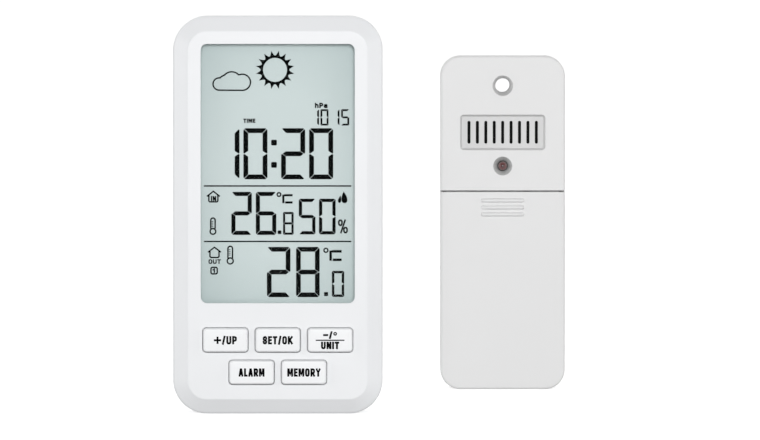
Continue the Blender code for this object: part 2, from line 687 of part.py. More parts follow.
def sensor_front_shell(name, keep_above, origin, parent):
    """The part of the sensor's hollow front that lies above or below the seam."""
    size = (SENSOR_WIDTH, SENSOR_HEIGHT)
    middle = (0, SENSOR_HEIGHT / 2)
    bm = bmesh.new()
    outside = [(0, 1.4), (0.45, 0.45), (1.5, 0), (SENSOR_SPLIT, 0)]
    prism(bm, middle, size, SENSOR_CORNER, outside, LARGE_STEPS)
    shell = make_object(bm, name, "white_case", parent, origin)
    bm = bmesh.new()
    wall = SENSOR_WALL
    inside = [(wall, wall + 0.8), (wall + 1, wall), (SENSOR_SPLIT + 1, wall)]
    prism(bm, middle, size, SENSOR_CORNER, inside, LARGE_STEPS)
    combine(shell, make_object(bm, name + "_hollow", parent=parent), "DIFFERENCE")
    bm = bmesh.new()
    cut_low = -1 if keep_above else SEAM_HEIGHT - SEAM_GAP / 2
    cut_high = SEAM_HEIGHT + SEAM_GAP / 2 if keep_above else SENSOR_HEIGHT + 1
    block = (SENSOR_WIDTH + 2, SENSOR_SPLIT + 4, cut_high - cut_low)
    box(bm, (0, SENSOR_SPLIT / 2, (cut_low + cut_high) / 2), block)
    combine(shell, make_object(bm, name + "_cut", parent=parent), "DIFFERENCE")
    return shell


def make_sensor_front(parent):
    case = sensor_front_shell("sensor_front_case", True, (0, 0, 0), parent)
    bm = bmesh.new()
    prism(bm, (0, LOUVRE_MIDDLE), (LOUVRE_WIDTH, LOUVRE_HEIGHT), 1, [(-1, 0), (LOUVRE_DEPTH, 0.15)])
    combine(case, make_object(bm, "louvre_recess", parent=parent), "DIFFERENCE")
    bm = bmesh.new()
    for i in range(SLOT_COUNT):
        x = (i - (SLOT_COUNT - 1) / 2) * SLOT_PITCH
        slot = [(LOUVRE_DEPTH - 0.3, 0), (SENSOR_WALL + 1, 0)]
        prism(bm, (x, LOUVRE_MIDDLE), (SLOT_WIDTH, SLOT_HEIGHT), SLOT_WIDTH / 2, slot, 2)
    combine(case, make_object(bm, "louvre_slots", parent=parent), "DIFFERENCE")

    pilot = SCREW_RADIUS + GAP
    tip = SENSOR_DEPTH - SCREW_SINK - SCREW_HEAD_HEIGHT - SCREW_LENGTH - GAP
    root = SENSOR_WALL - EDGE_OVERLAP
    post = pilot + 1
    for i, (x, z) in enumerate(sensor_screw_places()):
        bm = bmesh.new()
        turned(bm, (x, root, z), ALONG_Y, [(0, post), (SENSOR_SPLIT - root, post)], 12)
        combine(case, make_object(bm, f"sensor_post_{i + 1}", parent=parent), "UNION")
    bm = bmesh.new()
    tube = HANG_RADIUS + HANG_WALL
    turned(bm, (0, root, HANG_HEIGHT), ALONG_Y, [(0, tube), (SENSOR_SPLIT - root, tube)])
    combine(case, make_object(bm, "hang_tube_front", parent=parent), "UNION")

    bm = bmesh.new()
    lip = [(-1, HANG_RADIUS + HANG_LIP + 1), (HANG_LIP, HANG_RADIUS), (SENSOR_SPLIT + 1, HANG_RADIUS)]
    turned(bm, (0, 0, HANG_HEIGHT), ALONG_Y, lip, 20)
    narrow = LED_RADIUS + GAP
    cone = [(-0.2, LED_CONE_RADIUS + 0.1), (LED_CONE_DEPTH, narrow), (SENSOR_WALL + 1, narrow)]
    turned(bm, (0, 0, LED_HEIGHT), ALONG_Y, cone, 20)
    for x, z in sensor_screw_places():
        turned(bm, (x, tip, z), ALONG_Y, [(0, pilot), (SENSOR_SPLIT + 1 - tip, pilot)], 12)
    combine(case, make_object(bm, "sensor_front_bores", parent=parent), "DIFFERENCE")


def make_sensor_door(parent):
    origin = (0, 0, SEAM_HEIGHT / 2)
    door = sensor_front_shell("sensor_battery_door", False, origin, parent)
    bm = bmesh.new()
    for i in range(RIB_COUNT):
        z = RIB_TOP - i * RIB_PITCH
        rib = [(-RIB_PROUD, 0.3), (-RIB_PROUD + 0.3, 0), (EDGE_OVERLAP, 0)]
        prism(bm, (0, z), (RIB_WIDTH, RIB_HEIGHT), RIB_HEIGHT / 2, rib, 3)
    combine(door, make_object(bm, "grip_ribs", parent=parent), "UNION")


def make_sensor_back(parent):
    size = (SENSOR_WIDTH, SENSOR_HEIGHT)
    middle = (0, SENSOR_HEIGHT / 2)
    start = SENSOR_SPLIT + GAP
    bm = bmesh.new()
    outside = [(start, 0), (SENSOR_DEPTH - 1.5, 0), (SENSOR_DEPTH - 0.45, 0.45), (SENSOR_DEPTH, 1.4)]
    prism(bm, middle, size, SENSOR_CORNER, outside, LARGE_STEPS)
    case = make_object(bm, "sensor_back_case", "white_case", parent)
    bm = bmesh.new()
    deep = sensor_back_inner
    inside = [(start - 1, SENSOR_WALL), (deep - 1, SENSOR_WALL), (deep, SENSOR_WALL + 0.8)]
    prism(bm, middle, size, SENSOR_CORNER, inside, LARGE_STEPS)
    combine(case, make_object(bm, "sensor_back_hollow", parent=parent), "DIFFERENCE")

    bay = (0, sensor_bay_z)
    mouth = sensor_cell_y - CELL_RADIUS + 1
    bm = bmesh.new()
    block = (bay_height + 2 * BAY_WALL, bay_length + 2 * BAY_WALL)
    prism(bm, bay, block, 1, [(mouth, 0), (deep + EDGE_OVERLAP, 0)])
    combine(case, make_object(bm, "sensor_bay_block", parent=parent), "UNION")
    bm = bmesh.new()
    prism(bm, bay, (bay_height, bay_length), 0.5, [(mouth - 1, 0), (deep, 0)])
    combine(case, make_object(bm, "sensor_bay_inside", parent=parent), "DIFFERENCE")

    boss = SCREW_HEAD_RADIUS + GAP + 1
    for i, (x, z) in enumerate(sensor_screw_places()):
        bm = bmesh.new()
        turned(bm, (x, start, z), ALONG_Y, [(0, boss), (deep + EDGE_OVERLAP - start, boss)], 12)
        combine(case, make_object(bm, f"sensor_boss_{i + 1}", parent=parent), "UNION")
    bm = bmesh.new()
    tube = HANG_RADIUS + HANG_WALL
    turned(bm, (0, start, HANG_HEIGHT), ALONG_Y, [(0, tube), (deep + EDGE_OVERLAP - start, tube)])
    combine(case, make_object(bm, "hang_tube_back", parent=parent), "UNION")
    bm = bmesh.new()
    bore = SENSOR_DEPTH + 1 - start + 1
    turned(bm, (0, start - 1, HANG_HEIGHT), ALONG_Y, [(0, HANG_RADIUS), (bore, HANG_RADIUS)], 20)
    combine(case, make_object(bm, "hang_bore_back", parent=parent), "DIFFERENCE")
    cut_screw_wells(case, sensor_screw_places(), SENSOR_DEPTH, start, "sensor", parent)


def make_sensor_inside(parent):
    """The sensor's board, with its light, probe, chip, radio, aerial and channel switch."""
    board_front = SENSOR_BOARD_DEPTH
    board_back = board_front + BOARD_THICKNESS + GAP
    bottom = sensor_bay_z + bay_length / 2 + BAY_WALL + 2 * GAP
    top = HANG_HEIGHT - HANG_RADIUS - HANG_WALL - 2
    edge = SENSOR_WIDTH / 2 - SENSOR_WALL - 5.4
    bm = bmesh.new()
    size = (2 * edge, BOARD_THICKNESS, top - bottom)
    box(bm, (0, board_front + BOARD_THICKNESS / 2, (top + bottom) / 2), size)
    make_object(bm, "sensor_board", "green_board", parent)

    bm = bmesh.new()
    tip = 0.35
    dome = [
        (0, 0.5),
        (0.3, LED_RADIUS * 0.62),
        (0.8, LED_RADIUS * 0.88),
        (1.6, LED_RADIUS),
        (board_front - GAP - tip - 1, LED_RADIUS),
        (board_front - GAP - tip - 1, LED_RADIUS + 0.3),
        (board_front - GAP - tip, LED_RADIUS + 0.3),
    ]
    turned(bm, (0, tip, LED_HEIGHT), ALONG_Y, dome, 16)
    make_object(bm, "sensor_light", "signal_light", parent)

    bm = bmesh.new()
    turned(bm, (-4, board_back, LED_HEIGHT + 4), ALONG_Y, [(0, 5), (0.7, 4.2), (1.2, 2.4)])
    make_object(bm, "sensor_chip_blob", "black_chip", parent)
    blocks = (
        ("air_probe", "inner_plastic", (0, board_front - GAP - 1, LOUVRE_MIDDLE), (4, 2, 3)),
        ("transmitter_module", "green_board", (3, board_back + 1, LOUVRE_MIDDLE + 5), (12, 2, 7)),
    )
    for name, finish, place, size in blocks:
        bm = bmesh.new()
        box(bm, place, size)
        make_object(bm, name, finish, parent)
    bm = bmesh.new()
    coil(bm, (edge + 2.6, 5, LED_HEIGHT + 3), ALONG_Z, 1.5, 0.7, 14, 5)
    make_object(bm, "sensor_aerial", "copper_wire", parent)

    switch_z = (bottom + SEAM_HEIGHT) / 2
    switch_front = board_front - GAP - 3
    bm = bmesh.new()
    prism(bm, (0, switch_z), (9, 4), 0.3, [(switch_front, 0), (switch_front + 3, 0)], 1)
    make_object(bm, "channel_switch", "black_chip", parent)
    bm = bmesh.new()
    place = (-KNOB_TRAVEL / 2, switch_front - GAP - 0.7, switch_z)
    box(bm, place, (2, 1.4, 2.4))
    make_object(bm, "channel_knob", "white_key", parent, origin=place)


def make_console():
    console = make_empty("console", (0, 0, 0))
    make_console_front(console)
    make_display(console)
    make_buttons(console)
    make_console_board(console)
    make_cells("console", (0, console_cell_y, console_bay_z), ALONG_X, ALONG_Z, console)
    make_console_back(console)
    make_console_door(console)
    make_stand(console)
    for i, place in enumerate(screw_places()):
        make_screw(f"console_screw_{i + 1}", place, back_y - SCREW_SINK, console)


def make_sensor():
    sensor = make_empty("sensor", (sensor_x, sensor_y, 0))
    make_sensor_front(sensor)
    make_sensor_door(sensor)
    make_sensor_back(sensor)
    make_sensor_inside(sensor)
    make_cells("sensor", (0, sensor_cell_y, sensor_bay_z), ALONG_Z, ALONG_X, sensor)
    for i, place in enumerate(sensor_screw_places()):
        make_screw(f"sensor_screw_{i + 1}", place, SENSOR_DEPTH - SCREW_SINK, sensor)


for old in list(bpy.data.objects):
    bpy.data.objects.remove(old, do_unlink=True)
make_console()
make_sensor()
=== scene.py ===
# Home weather station: the looks of the desk console and its outdoor sensor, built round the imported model
import math
import bmesh
import bpy
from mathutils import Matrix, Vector


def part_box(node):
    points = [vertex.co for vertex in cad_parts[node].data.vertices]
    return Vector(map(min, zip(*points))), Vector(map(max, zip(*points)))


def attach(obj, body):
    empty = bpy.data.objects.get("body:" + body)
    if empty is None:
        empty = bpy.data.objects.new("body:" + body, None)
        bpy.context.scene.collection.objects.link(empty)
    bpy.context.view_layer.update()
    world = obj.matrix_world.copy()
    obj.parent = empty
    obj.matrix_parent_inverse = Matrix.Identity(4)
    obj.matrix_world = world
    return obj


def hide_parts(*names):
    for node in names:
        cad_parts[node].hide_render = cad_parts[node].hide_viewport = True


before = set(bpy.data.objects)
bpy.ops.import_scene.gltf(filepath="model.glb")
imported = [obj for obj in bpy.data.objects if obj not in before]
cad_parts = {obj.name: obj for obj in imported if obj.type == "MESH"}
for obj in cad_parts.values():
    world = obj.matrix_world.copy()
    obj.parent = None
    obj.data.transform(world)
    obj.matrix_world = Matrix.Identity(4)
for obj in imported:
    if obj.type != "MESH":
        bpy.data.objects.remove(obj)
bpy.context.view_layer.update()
print("frame loaded:", len(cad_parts), "nodes")

mm = 0.001  # sizes below are in millimetres unless a note says otherwise
alongX, alongY, alongZ = Vector((1, 0, 0)), Vector((0, 1, 0)), Vector((0, 0, 1))
madePieces = {}


def boxOf(node):
    low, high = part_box(node)
    return Vector(low) / mm, Vector(high) / mm


def newMaterial(name, colour, roughness, metallic=0.0, **sockets):
    material = bpy.data.materials.new(name)
    material.use_nodes = True
    shader = material.node_tree.nodes["Principled BSDF"]
    shader.inputs["Base Color"].default_value = (*colour, 1)
    shader.inputs["Roughness"].default_value = roughness
    shader.inputs["Metallic"].default_value = metallic
    for socket, value in sockets.items():
        shader.inputs[socket.replace("_", " ")].default_value = value
    return material


def addNode(material, kind, **values):
    node = material.node_tree.nodes.new(kind)
    for key, value in values.items():
        if key in node.inputs:
            node.inputs[key].default_value = value
        else:
            setattr(node, key, value)
    return node


def join(material, source, target):
    material.node_tree.links.new(source, target)


def placeNode(material):
    return addNode(material, "ShaderNodeTexCoord").outputs["Object"]


def grain(material, scale, detail=3.0):
    noise = addNode(material, "ShaderNodeTexNoise", Scale=scale, Detail=detail)
    join(material, placeNode(material), noise.inputs["Vector"])
    return noise.outputs["Fac"]


def shadeBetween(material, factor, dark, light, low=0.35, high=0.65):
    ramp = addNode(material, "ShaderNodeValToRGB")
    ramp.color_ramp.elements[0].position = low
    ramp.color_ramp.elements[1].position = high
    ramp.color_ramp.elements[0].color = (*dark, 1)
    ramp.color_ramp.elements[1].color = (*light, 1)
    join(material, factor, ramp.inputs["Fac"])
    return ramp.outputs["Color"]


def paint(material, socket, output):
    join(material, output, material.node_tree.nodes["Principled BSDF"].inputs[socket])


def roughen(material, factor, low, high):
    spread = addNode(material, "ShaderNodeMapRange")
    spread.inputs["To Min"].default_value = low
    spread.inputs["To Max"].default_value = high
    join(material, factor, spread.inputs["Value"])
    paint(material, "Roughness", spread.outputs["Result"])


def mottle(material, scale, dark, light):
    paint(material, "Base Color", shadeBetween(material, grain(material, scale), dark, light))


def emboss(material, factor, strength, distance):
    bump = addNode(material, "ShaderNodeBump", Strength=strength, Distance=distance)
    join(material, factor, bump.inputs["Height"])
    paint(material, "Normal", bump.outputs["Normal"])


def tint(colour, amount):
    return tuple(min(channel * amount, 1.0) for channel in colour)


def mouldedPlastic(name, colour, roughness=0.38, texture=0.25, depth=0.00002, drift=0.01):
    # satin moulding: a fine spark texture, cloudy gloss and a very slight drift of shade
    material = newMaterial(name, colour, roughness, Specular_IOR_Level=0.45)
    mottle(material, 40, tint(colour, 1 - drift), tint(colour, 1 + drift / 2))
    roughen(material, grain(material, 260), roughness - 0.06, roughness + 0.08)
    emboss(material, grain(material, 4200, 2), texture, depth)
    return material


def metalFinish(name, colour, roughness, scale=900):
    material = newMaterial(name, colour, roughness, 1.0)
    mottle(material, scale, tint(colour, 0.85), colour)
    roughen(material, grain(material, scale * 3), roughness - 0.08, roughness + 0.12)
    emboss(material, grain(material, scale * 5, 2), 0.2, 0.00001)
    return material


def rubberFinish(name, colour):
    material = newMaterial(name, colour, 0.75)
    mottle(material, 400, tint(colour, 0.8), tint(colour, 1.2))
    emboss(material, grain(material, 3000), 0.4, 0.00003)
    return material


def boardFinish():
    # solder mask with a maze of paler traces and rows of tinned pads
    colours = {"mask": (0.012, 0.13, 0.05), "trace": (0.03, 0.24, 0.09), "pad": (0.62, 0.62, 0.58)}
    material = newMaterial("greenBoard", colours["mask"], 0.3, Coat_Weight=0.3)
    turn = addNode(material, "ShaderNodeMapping")
    turn.inputs["Rotation"].default_value = (math.pi / 2, 0, 0)
    join(material, placeNode(material), turn.inputs["Vector"])
    maze = addNode(material, "ShaderNodeTexBrick", Scale=260.0)
    maze.inputs["Color1"].default_value = (*colours["mask"], 1)
    maze.inputs["Color2"].default_value = (*tint(colours["mask"], 1.3), 1)
    maze.inputs["Mortar"].default_value = (*colours["trace"], 1)
    maze.inputs["Mortar Size"].default_value = 0.03
    join(material, turn.outputs["Vector"], maze.inputs["Vector"])
    dots = addNode(material, "ShaderNodeTexVoronoi", Scale=380.0, Randomness=0.35)
    join(material, placeNode(material), dots.inputs["Vector"])
    isPad = addNode(material, "ShaderNodeMath", operation="LESS_THAN")
    isPad.inputs[1].default_value = 0.16
    join(material, dots.outputs["Distance"], isPad.inputs[0])
    mixed = addNode(material, "ShaderNodeMix", data_type="RGBA")
    mixed.inputs[7].default_value = (*colours["pad"], 1)
    join(material, isPad.outputs["Value"], mixed.inputs[0])
    join(material, maze.outputs["Color"], mixed.inputs[6])
    paint(material, "Base Color", mixed.outputs[2])
    return material


def chipFinish():
    material = newMaterial("blackChip", (0.018, 0.018, 0.02), 0.28)
    mottle(material, 700, (0.012, 0.012, 0.013), (0.03, 0.03, 0.032))
    roughen(material, grain(material, 1400), 0.22, 0.42)
    return material


def displayFinish():
    # grey-green reflector with painted shade: darker towards the window's edges, where the recess's shadow
    # falls, and palest in the middle, with a fine pearly speckle
    reflectorAndPaintedEdgeShade = {"middle": (0.625, 0.695, 0.69), "edge": (0.48, 0.56, 0.558)}
    low, high = boxOf("lcd_glass")
    middle = (low + high) / 2 * mm
    material = newMaterial("displayPane", reflectorAndPaintedEdgeShade["middle"], 0.45, Specular_IOR_Level=0.1)
    centred = addNode(material, "ShaderNodeMapping", vector_type="TEXTURE")
    centred.inputs["Location"].default_value = middle
    centred.inputs["Scale"].default_value = (0.046, 1.0, 0.066)
    join(material, placeNode(material), centred.inputs["Vector"])
    # painted shade: this gradient from the window's middle darkens the reflector towards its edges
    glow = addNode(material, "ShaderNodeTexGradient", gradient_type="SPHERICAL")
    join(material, centred.outputs["Vector"], glow.inputs["Vector"])
    shade = shadeBetween(material, glow.outputs["Fac"], reflectorAndPaintedEdgeShade["edge"], reflectorAndPaintedEdgeShade["middle"], 0.02, 0.62)
    speckle = shadeBetween(material, grain(material, 5200, 1), (0.955, 0.955, 0.955), (1, 1, 1), 0.3, 0.6)
    mixed = addNode(material, "ShaderNodeMix", data_type="RGBA", blend_type="MULTIPLY")
    mixed.inputs[0].default_value = 1.0
    join(material, shade, mixed.inputs[6])
    join(material, speckle, mixed.inputs[7])
    paint(material, "Base Color", mixed.outputs[2])
    return material


def clearFinish(name, colour, shine, gloss=0.03):
    # see-through sheet: lets light pass, with a mirror skin that grows at a grazing angle
    material = newMaterial(name, colour, gloss)
    tree = material.node_tree
    tree.nodes.remove(tree.nodes["Principled BSDF"])
    clear = addNode(material, "ShaderNodeBsdfTransparent", Color=(*colour, 1))
    skin = addNode(material, "ShaderNodeBsdfGlossy", Roughness=gloss, Color=(0.9, 0.93, 0.93, 1))
    fresnel = addNode(material, "ShaderNodeFresnel", IOR=1.4)
    scaled = addNode(material, "ShaderNodeMath", operation="MULTIPLY")
    scaled.inputs[1].default_value = shine
    mixed = addNode(material, "ShaderNodeMixShader")
    join(material, fresnel.outputs["Fac"], scaled.inputs[0])
    join(material, scaled.outputs["Value"], mixed.inputs["Fac"])
    join(material, clear.outputs["BSDF"], mixed.inputs[1])
    join(material, skin.outputs["BSDF"], mixed.inputs[2])
    join(material, mixed.outputs["Shader"], tree.nodes["Material Output"].inputs["Surface"])
    return material


def inkFinish(name, colour):
    material = newMaterial(name, colour, 0.6, Specular_IOR_Level=0.02)
    mottle(material, 2500, tint(colour, 0.8), tint(colour, 1.25))
    return material


def jacketFinish():
    material = newMaterial("cellJacket", (0.05, 0.15, 0.32), 0.3, Coat_Weight=0.6)
    mottle(material, 120, (0.04, 0.12, 0.27), (0.06, 0.18, 0.37))
    roughen(material, grain(material, 1200), 0.24, 0.36)
    return material


def gauzeFinish():
    # woven black mesh
    material = newMaterial("dustGauze", (0.004, 0.004, 0.004), 0.85, Specular_IOR_Level=0.1)
    weave = addNode(material, "ShaderNodeTexWave", Scale=900.0, Distortion=0.4)
    join(material, placeNode(material), weave.inputs["Vector"])
    dark, light = (0.002, 0.002, 0.002), (0.012, 0.012, 0.012)
    paint(material, "Base Color", shadeBetween(material, weave.outputs["Fac"], dark, light))
    emboss(material, weave.outputs["Fac"], 0.3, 0.00005)
    return material


def signalFinish():
    # smoky clear dome with a dark red core
    low, high = boxOf("sensor_light")
    middle = (low + high) / 2 * mm
    material = newMaterial("signalLight", (0.3, 0.2, 0.2), 0.07, Coat_Weight=0.4)
    centred = addNode(material, "ShaderNodeMapping", vector_type="TEXTURE")
    centred.inputs["Location"].default_value = middle
    centred.inputs["Scale"].default_value = (0.0019, 1.0, 0.0019)
    join(material, placeNode(material), centred.inputs["Vector"])
    core = addNode(material, "ShaderNodeTexGradient", gradient_type="SPHERICAL")
    join(material, centred.outputs["Vector"], core.inputs["Vector"])
    ramp = addNode(material, "ShaderNodeValToRGB")
    ramp.color_ramp.elements[0].position = 0.15
    ramp.color_ramp.elements[0].color = (0.3, 0.27, 0.265, 1)
    ramp.color_ramp.elements[1].position = 0.85
    ramp.color_ramp.elements[1].color = (0.035, 0.003, 0.004, 1)
    between = ramp.color_ramp.elements.new(0.5)
    between.color = (0.16, 0.055, 0.055, 1)
    join(material, core.outputs["Fac"], ramp.inputs["Fac"])
    paint(material, "Base Color", ramp.outputs["Color"])
    roughen(material, grain(material, 900), 0.04, 0.1)
    return material


finishes = {
    "whiteCase": mouldedPlastic("whiteCase", (0.80, 0.81, 0.825)),
    "sensorShell": mouldedPlastic("sensorShell", (0.738, 0.738, 0.738), 0.42, drift=0.006),
    # the louvre recess's darker plastic is painted shade, standing in for the shade inside the recess
    "recessPaintedShade": mouldedPlastic("recessPaintedShade", (0.65, 0.65, 0.65), 0.5),
    # the signal light's cone gets a darker grey: painted shade for the shade inside the cone
    "lightSeatPaintedShade": mouldedPlastic("lightSeatPaintedShade", (0.53, 0.54, 0.535), 0.5),
    "whiteKey": mouldedPlastic("whiteKey", (0.85, 0.86, 0.87), 0.36, 0.15),
    "innerPlastic": mouldedPlastic("innerPlastic", (0.62, 0.62, 0.6), 0.5),
    "display": displayFinish(),
    "lens": clearFinish("clearLens", (0.99, 0.995, 0.995), 0.06),
    "segmentInk": inkFinish("segmentInk", (0.0008, 0.0014, 0.0014)),
    "legendInk": inkFinish("legendInk", (0.003, 0.003, 0.0035)),
    "gauze": gauzeFinish(),
    "blackRubber": rubberFinish("blackRubber", (0.03, 0.03, 0.03)),
    "greyRubber": rubberFinish("greyRubber", (0.2, 0.21, 0.22)),
    "board": boardFinish(),
    "chip": chipFinish(),
    "nickel": metalFinish("nickel", (0.72, 0.71, 0.69), 0.28),
    "brass": metalFinish("brass", (0.72, 0.52, 0.22), 0.3),
    "copper": metalFinish("copper", (0.72, 0.3, 0.14), 0.3),
    "ferrite": rubberFinish("ferriteRod", (0.05, 0.05, 0.055)),
    "jacket": jacketFinish(),
    "cellBand": metalFinish("cellBand", (0.78, 0.55, 0.22), 0.25),
    "signal": signalFinish(),
}
print("materials made:", len(finishes))


def outline(width, height, radius, steps):
    points = []
    for quarter in range(4):
        across = (width / 2 - radius) * (1 if quarter in (0, 3) else -1)
        up = (height / 2 - radius) * (1 if quarter in (0, 1) else -1)
        for step in range(steps + 1):
            angle = math.pi / 2 * (quarter + step / steps)
            points.append((across + radius * math.cos(angle), up + radius * math.sin(angle)))
    return points


def eased(profile, steps=5):
    # each (distance, inset, round) corner becomes a short curve that starts and ends round away from it
    points = []
    for i, (distance, inset, rounding) in enumerate(profile):
        corner = Vector((distance, inset))
        if rounding == 0 or i in (0, len(profile) - 1):
            points.append(tuple(corner))
            continue
        before = Vector(profile[i - 1][:2]) - corner
        after = Vector(profile[i + 1][:2]) - corner
        start = corner + before.normalized() * min(rounding, before.length / 2)
        end = corner + after.normalized() * min(rounding, after.length / 2)
        for step in range(steps + 1):
            t = step / steps
            points.append(tuple(start * (1 - t) ** 2 + corner * 2 * t * (1 - t) + end * t * t))
    return points


def skin(bm, rings, closed=False, slot=0):
    faces = []
    pairs = list(zip(rings, rings[1:]))
    if closed:
        pairs.append((rings[-1], rings[0]))
    else:
        faces += [bm.faces.new(rings[0]), bm.faces.new(rings[-1])]
    for ring, following in pairs:
        for i in range(len(ring)):
            j = (i + 1) % len(ring)
            faces.append(bm.faces.new((ring[i], ring[j], following[j], following[i])))
    for face in faces:
        face.material_index = slot


def loft(bm, middle, size, radius, profile, steps=16, slot=0):
    # rounded rectangles in XZ, one for each (y, inset)
    rings = []
    for y, inset in profile:
        points = outline(size[0] - 2 * inset, size[1] - 2 * inset, max(radius - inset, 0.12), steps)
        rings.append([bm.verts.new((middle[0] + x, y, middle[1] + z)) for x, z in points])
    skin(bm, rings, slot=slot)


def lathe(bm, start, axis, profile, sides=48, closed=False, slot=0):
    turn = axis.to_track_quat("Z", "Y").to_matrix()
    rings = []
    for distance, radius in profile:
        angles = [2 * math.pi * i / sides for i in range(sides)]
        points = [Vector((radius * math.cos(a), radius * math.sin(a), distance)) for a in angles]
        rings.append([bm.verts.new(Vector(start) + turn @ point) for point in points])
    skin(bm, rings, closed, slot)


def block(bm, low, high):
    corners = ((low[0], low[1]), (high[0], low[1]), (high[0], high[1]), (low[0], high[1]))
    skin(bm, [[bm.verts.new((x, y, z)) for x, y in corners] for z in (low[2], high[2])])


def slab(bm, points, yFront, yBack, slot=0):
    # a flat shape of (x, z) points, given a thickness
    skin(bm, [[bm.verts.new((x, y, z)) for x, z in points] for y in (yFront, yBack)], slot=slot)


def ribbon(bm, points, width, yFront, yBack, closed=True, slot=0):
    # a line of even width along (x, z) points
    count = len(points)
    rings = []
    for i, point in enumerate(points):
        here = Vector(point)
        before = Vector(points[i - 1]) if closed or i else here - (Vector(points[1]) - here)
        after = Vector(points[(i + 1) % count]) if closed or i < count - 1 else here + (here - before)
        first, second = (here - before).normalized(), (after - here).normalized()
        across = Vector((-(first.y + second.y), first.x + second.x)).normalized()
        reach = width / 2 / max(across.dot(Vector((-first.y, first.x))), 0.5)
        inner, outer = here - across * reach, here + across * reach
        corners = ((inner, yFront), (outer, yFront), (outer, yBack), (inner, yBack))
        rings.append([bm.verts.new((p.x, y, p.y)) for p, y in corners])
    skin(bm, rings, closed, slot)


def arc(x, z, radius, start, end, steps=16):
    angles = [math.radians(start + (end - start) * i / steps) for i in range(steps + 1)]
    return [(x + radius * math.cos(a), z + radius * math.sin(a)) for a in angles]


def asObject(bm, name, *materials):
    bmesh.ops.remove_doubles(bm, verts=bm.verts, dist=1e-4)
    bmesh.ops.recalc_face_normals(bm, faces=bm.faces)
    bmesh.ops.scale(bm, verts=bm.verts, vec=(mm, mm, mm))
    mesh = bpy.data.meshes.new(name)
    bm.to_mesh(mesh)
    bm.free()
    mesh.shade_smooth()
    mesh.set_sharp_from_angle(angle=math.radians(32))
    made = bpy.data.objects.new(name, mesh)
    bpy.context.scene.collection.objects.link(made)
    for finish in materials:
        mesh.materials.append(finishes[finish])
    return made


def settle(piece):
    # the modifiers' result becomes the piece's own mesh
    bpy.context.view_layer.update()
    shaped = bpy.data.meshes.new_from_object(piece.evaluated_get(bpy.context.evaluated_depsgraph_get()))
    piece.modifiers.clear()
    piece.data = shaped


def combine(piece, bm, operation="DIFFERENCE", finish=None):
    # faces cut or added by a tool with a finish of its own keep that finish
    tool = asObject(bm, "tool", *([finish] if finish else []))
    if finish and finishes[finish].name not in piece.data.materials:
        piece.data.materials.append(finishes[finish])
    modifier = piece.modifiers.new("shape", "BOOLEAN")
    modifier.operation = operation
    modifier.solver = "EXACT"
    modifier.material_mode = "TRANSFER" if finish else "INDEX"
    modifier.object = tool
    settle(piece)
    bpy.data.objects.remove(tool, do_unlink=True)


def soften(piece, width, segments=3, angle=38):
    # small rounds on what is still sharp, with flat faces kept flat in the shading
    piece.data.shade_smooth()
    bevel = piece.modifiers.new("edges", "BEVEL")
    bevel.width = width * mm
    bevel.segments = segments
    bevel.limit_method = "ANGLE"
    bevel.angle_limit = math.radians(angle)
    bevel.miter_outer = "MITER_ARC"
    flat = piece.modifiers.new("flat", "WEIGHTED_NORMAL")
    flat.keep_sharp = True
    settle(piece)


def place(piece, body, slotName, *nodes):
    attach(piece, body)
    if nodes:
        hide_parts(*nodes)
    madePieces[piece.name] = body


def newTree(name, sockets):
    tree = bpy.data.node_groups.new(name, "GeometryNodeTree")
    tree.interface.new_socket("Geometry", in_out="OUTPUT", socket_type="NodeSocketGeometry")
    for socketName, kind in sockets.items():
        tree.interface.new_socket(socketName, in_out="INPUT", socket_type="NodeSocket" + kind)
    given = tree.nodes.new("NodeGroupInput")
    result = tree.nodes.new("NodeGroupOutput")
    return tree, given, result


def linkAll(tree, *pairs):
    for source, target in pairs:
        tree.links.new(source, target)


def rowTree():
    # copies of a template along a straight row
    tree, given, result = newTree("copiesInARow", {
        "Template": "Object", "Count": "Int", "Start": "Vector", "Step": "Vector", "Finish": "Material"})
    line = tree.nodes.new("GeometryNodeMeshLine")
    template = tree.nodes.new("GeometryNodeObjectInfo")
    copies = tree.nodes.new("GeometryNodeInstanceOnPoints")
    real = tree.nodes.new("GeometryNodeRealizeInstances")
    finish = tree.nodes.new("GeometryNodeSetMaterial")
    linkAll(tree,
            (given.outputs["Count"], line.inputs["Count"]),
            (given.outputs["Start"], line.inputs["Start Location"]),
            (given.outputs["Step"], line.inputs["Offset"]),
            (given.outputs["Template"], template.inputs["Object"]),
            (line.outputs["Mesh"], copies.inputs["Points"]),
            (template.outputs["Geometry"], copies.inputs["Instance"]),
            (copies.outputs["Instances"], real.inputs["Geometry"]),
            (real.outputs["Geometry"], finish.inputs["Geometry"]),
            (given.outputs["Finish"], finish.inputs["Material"]),
            (finish.outputs["Geometry"], result.inputs["Geometry"]))
    return tree


def spotTree():
    # copies of a template on the points of the piece's own mesh
    tree, given, result = newTree("copiesOnSpots", {
        "Spots": "Geometry", "Template": "Object", "Finish": "Material"})
    template = tree.nodes.new("GeometryNodeObjectInfo")
    copies = tree.nodes.new("GeometryNodeInstanceOnPoints")
    real = tree.nodes.new("GeometryNodeRealizeInstances")
    finish = tree.nodes.new("GeometryNodeSetMaterial")
    linkAll(tree,
            (given.outputs["Template"], template.inputs["Object"]),
            (given.outputs["Spots"], copies.inputs["Points"]),
            (template.outputs["Geometry"], copies.inputs["Instance"]),
            (copies.outputs["Instances"], real.inputs["Geometry"]),
            (real.outputs["Geometry"], finish.inputs["Geometry"]),
            (given.outputs["Finish"], finish.inputs["Material"]),
            (finish.outputs["Geometry"], result.inputs["Geometry"]))
    return tree


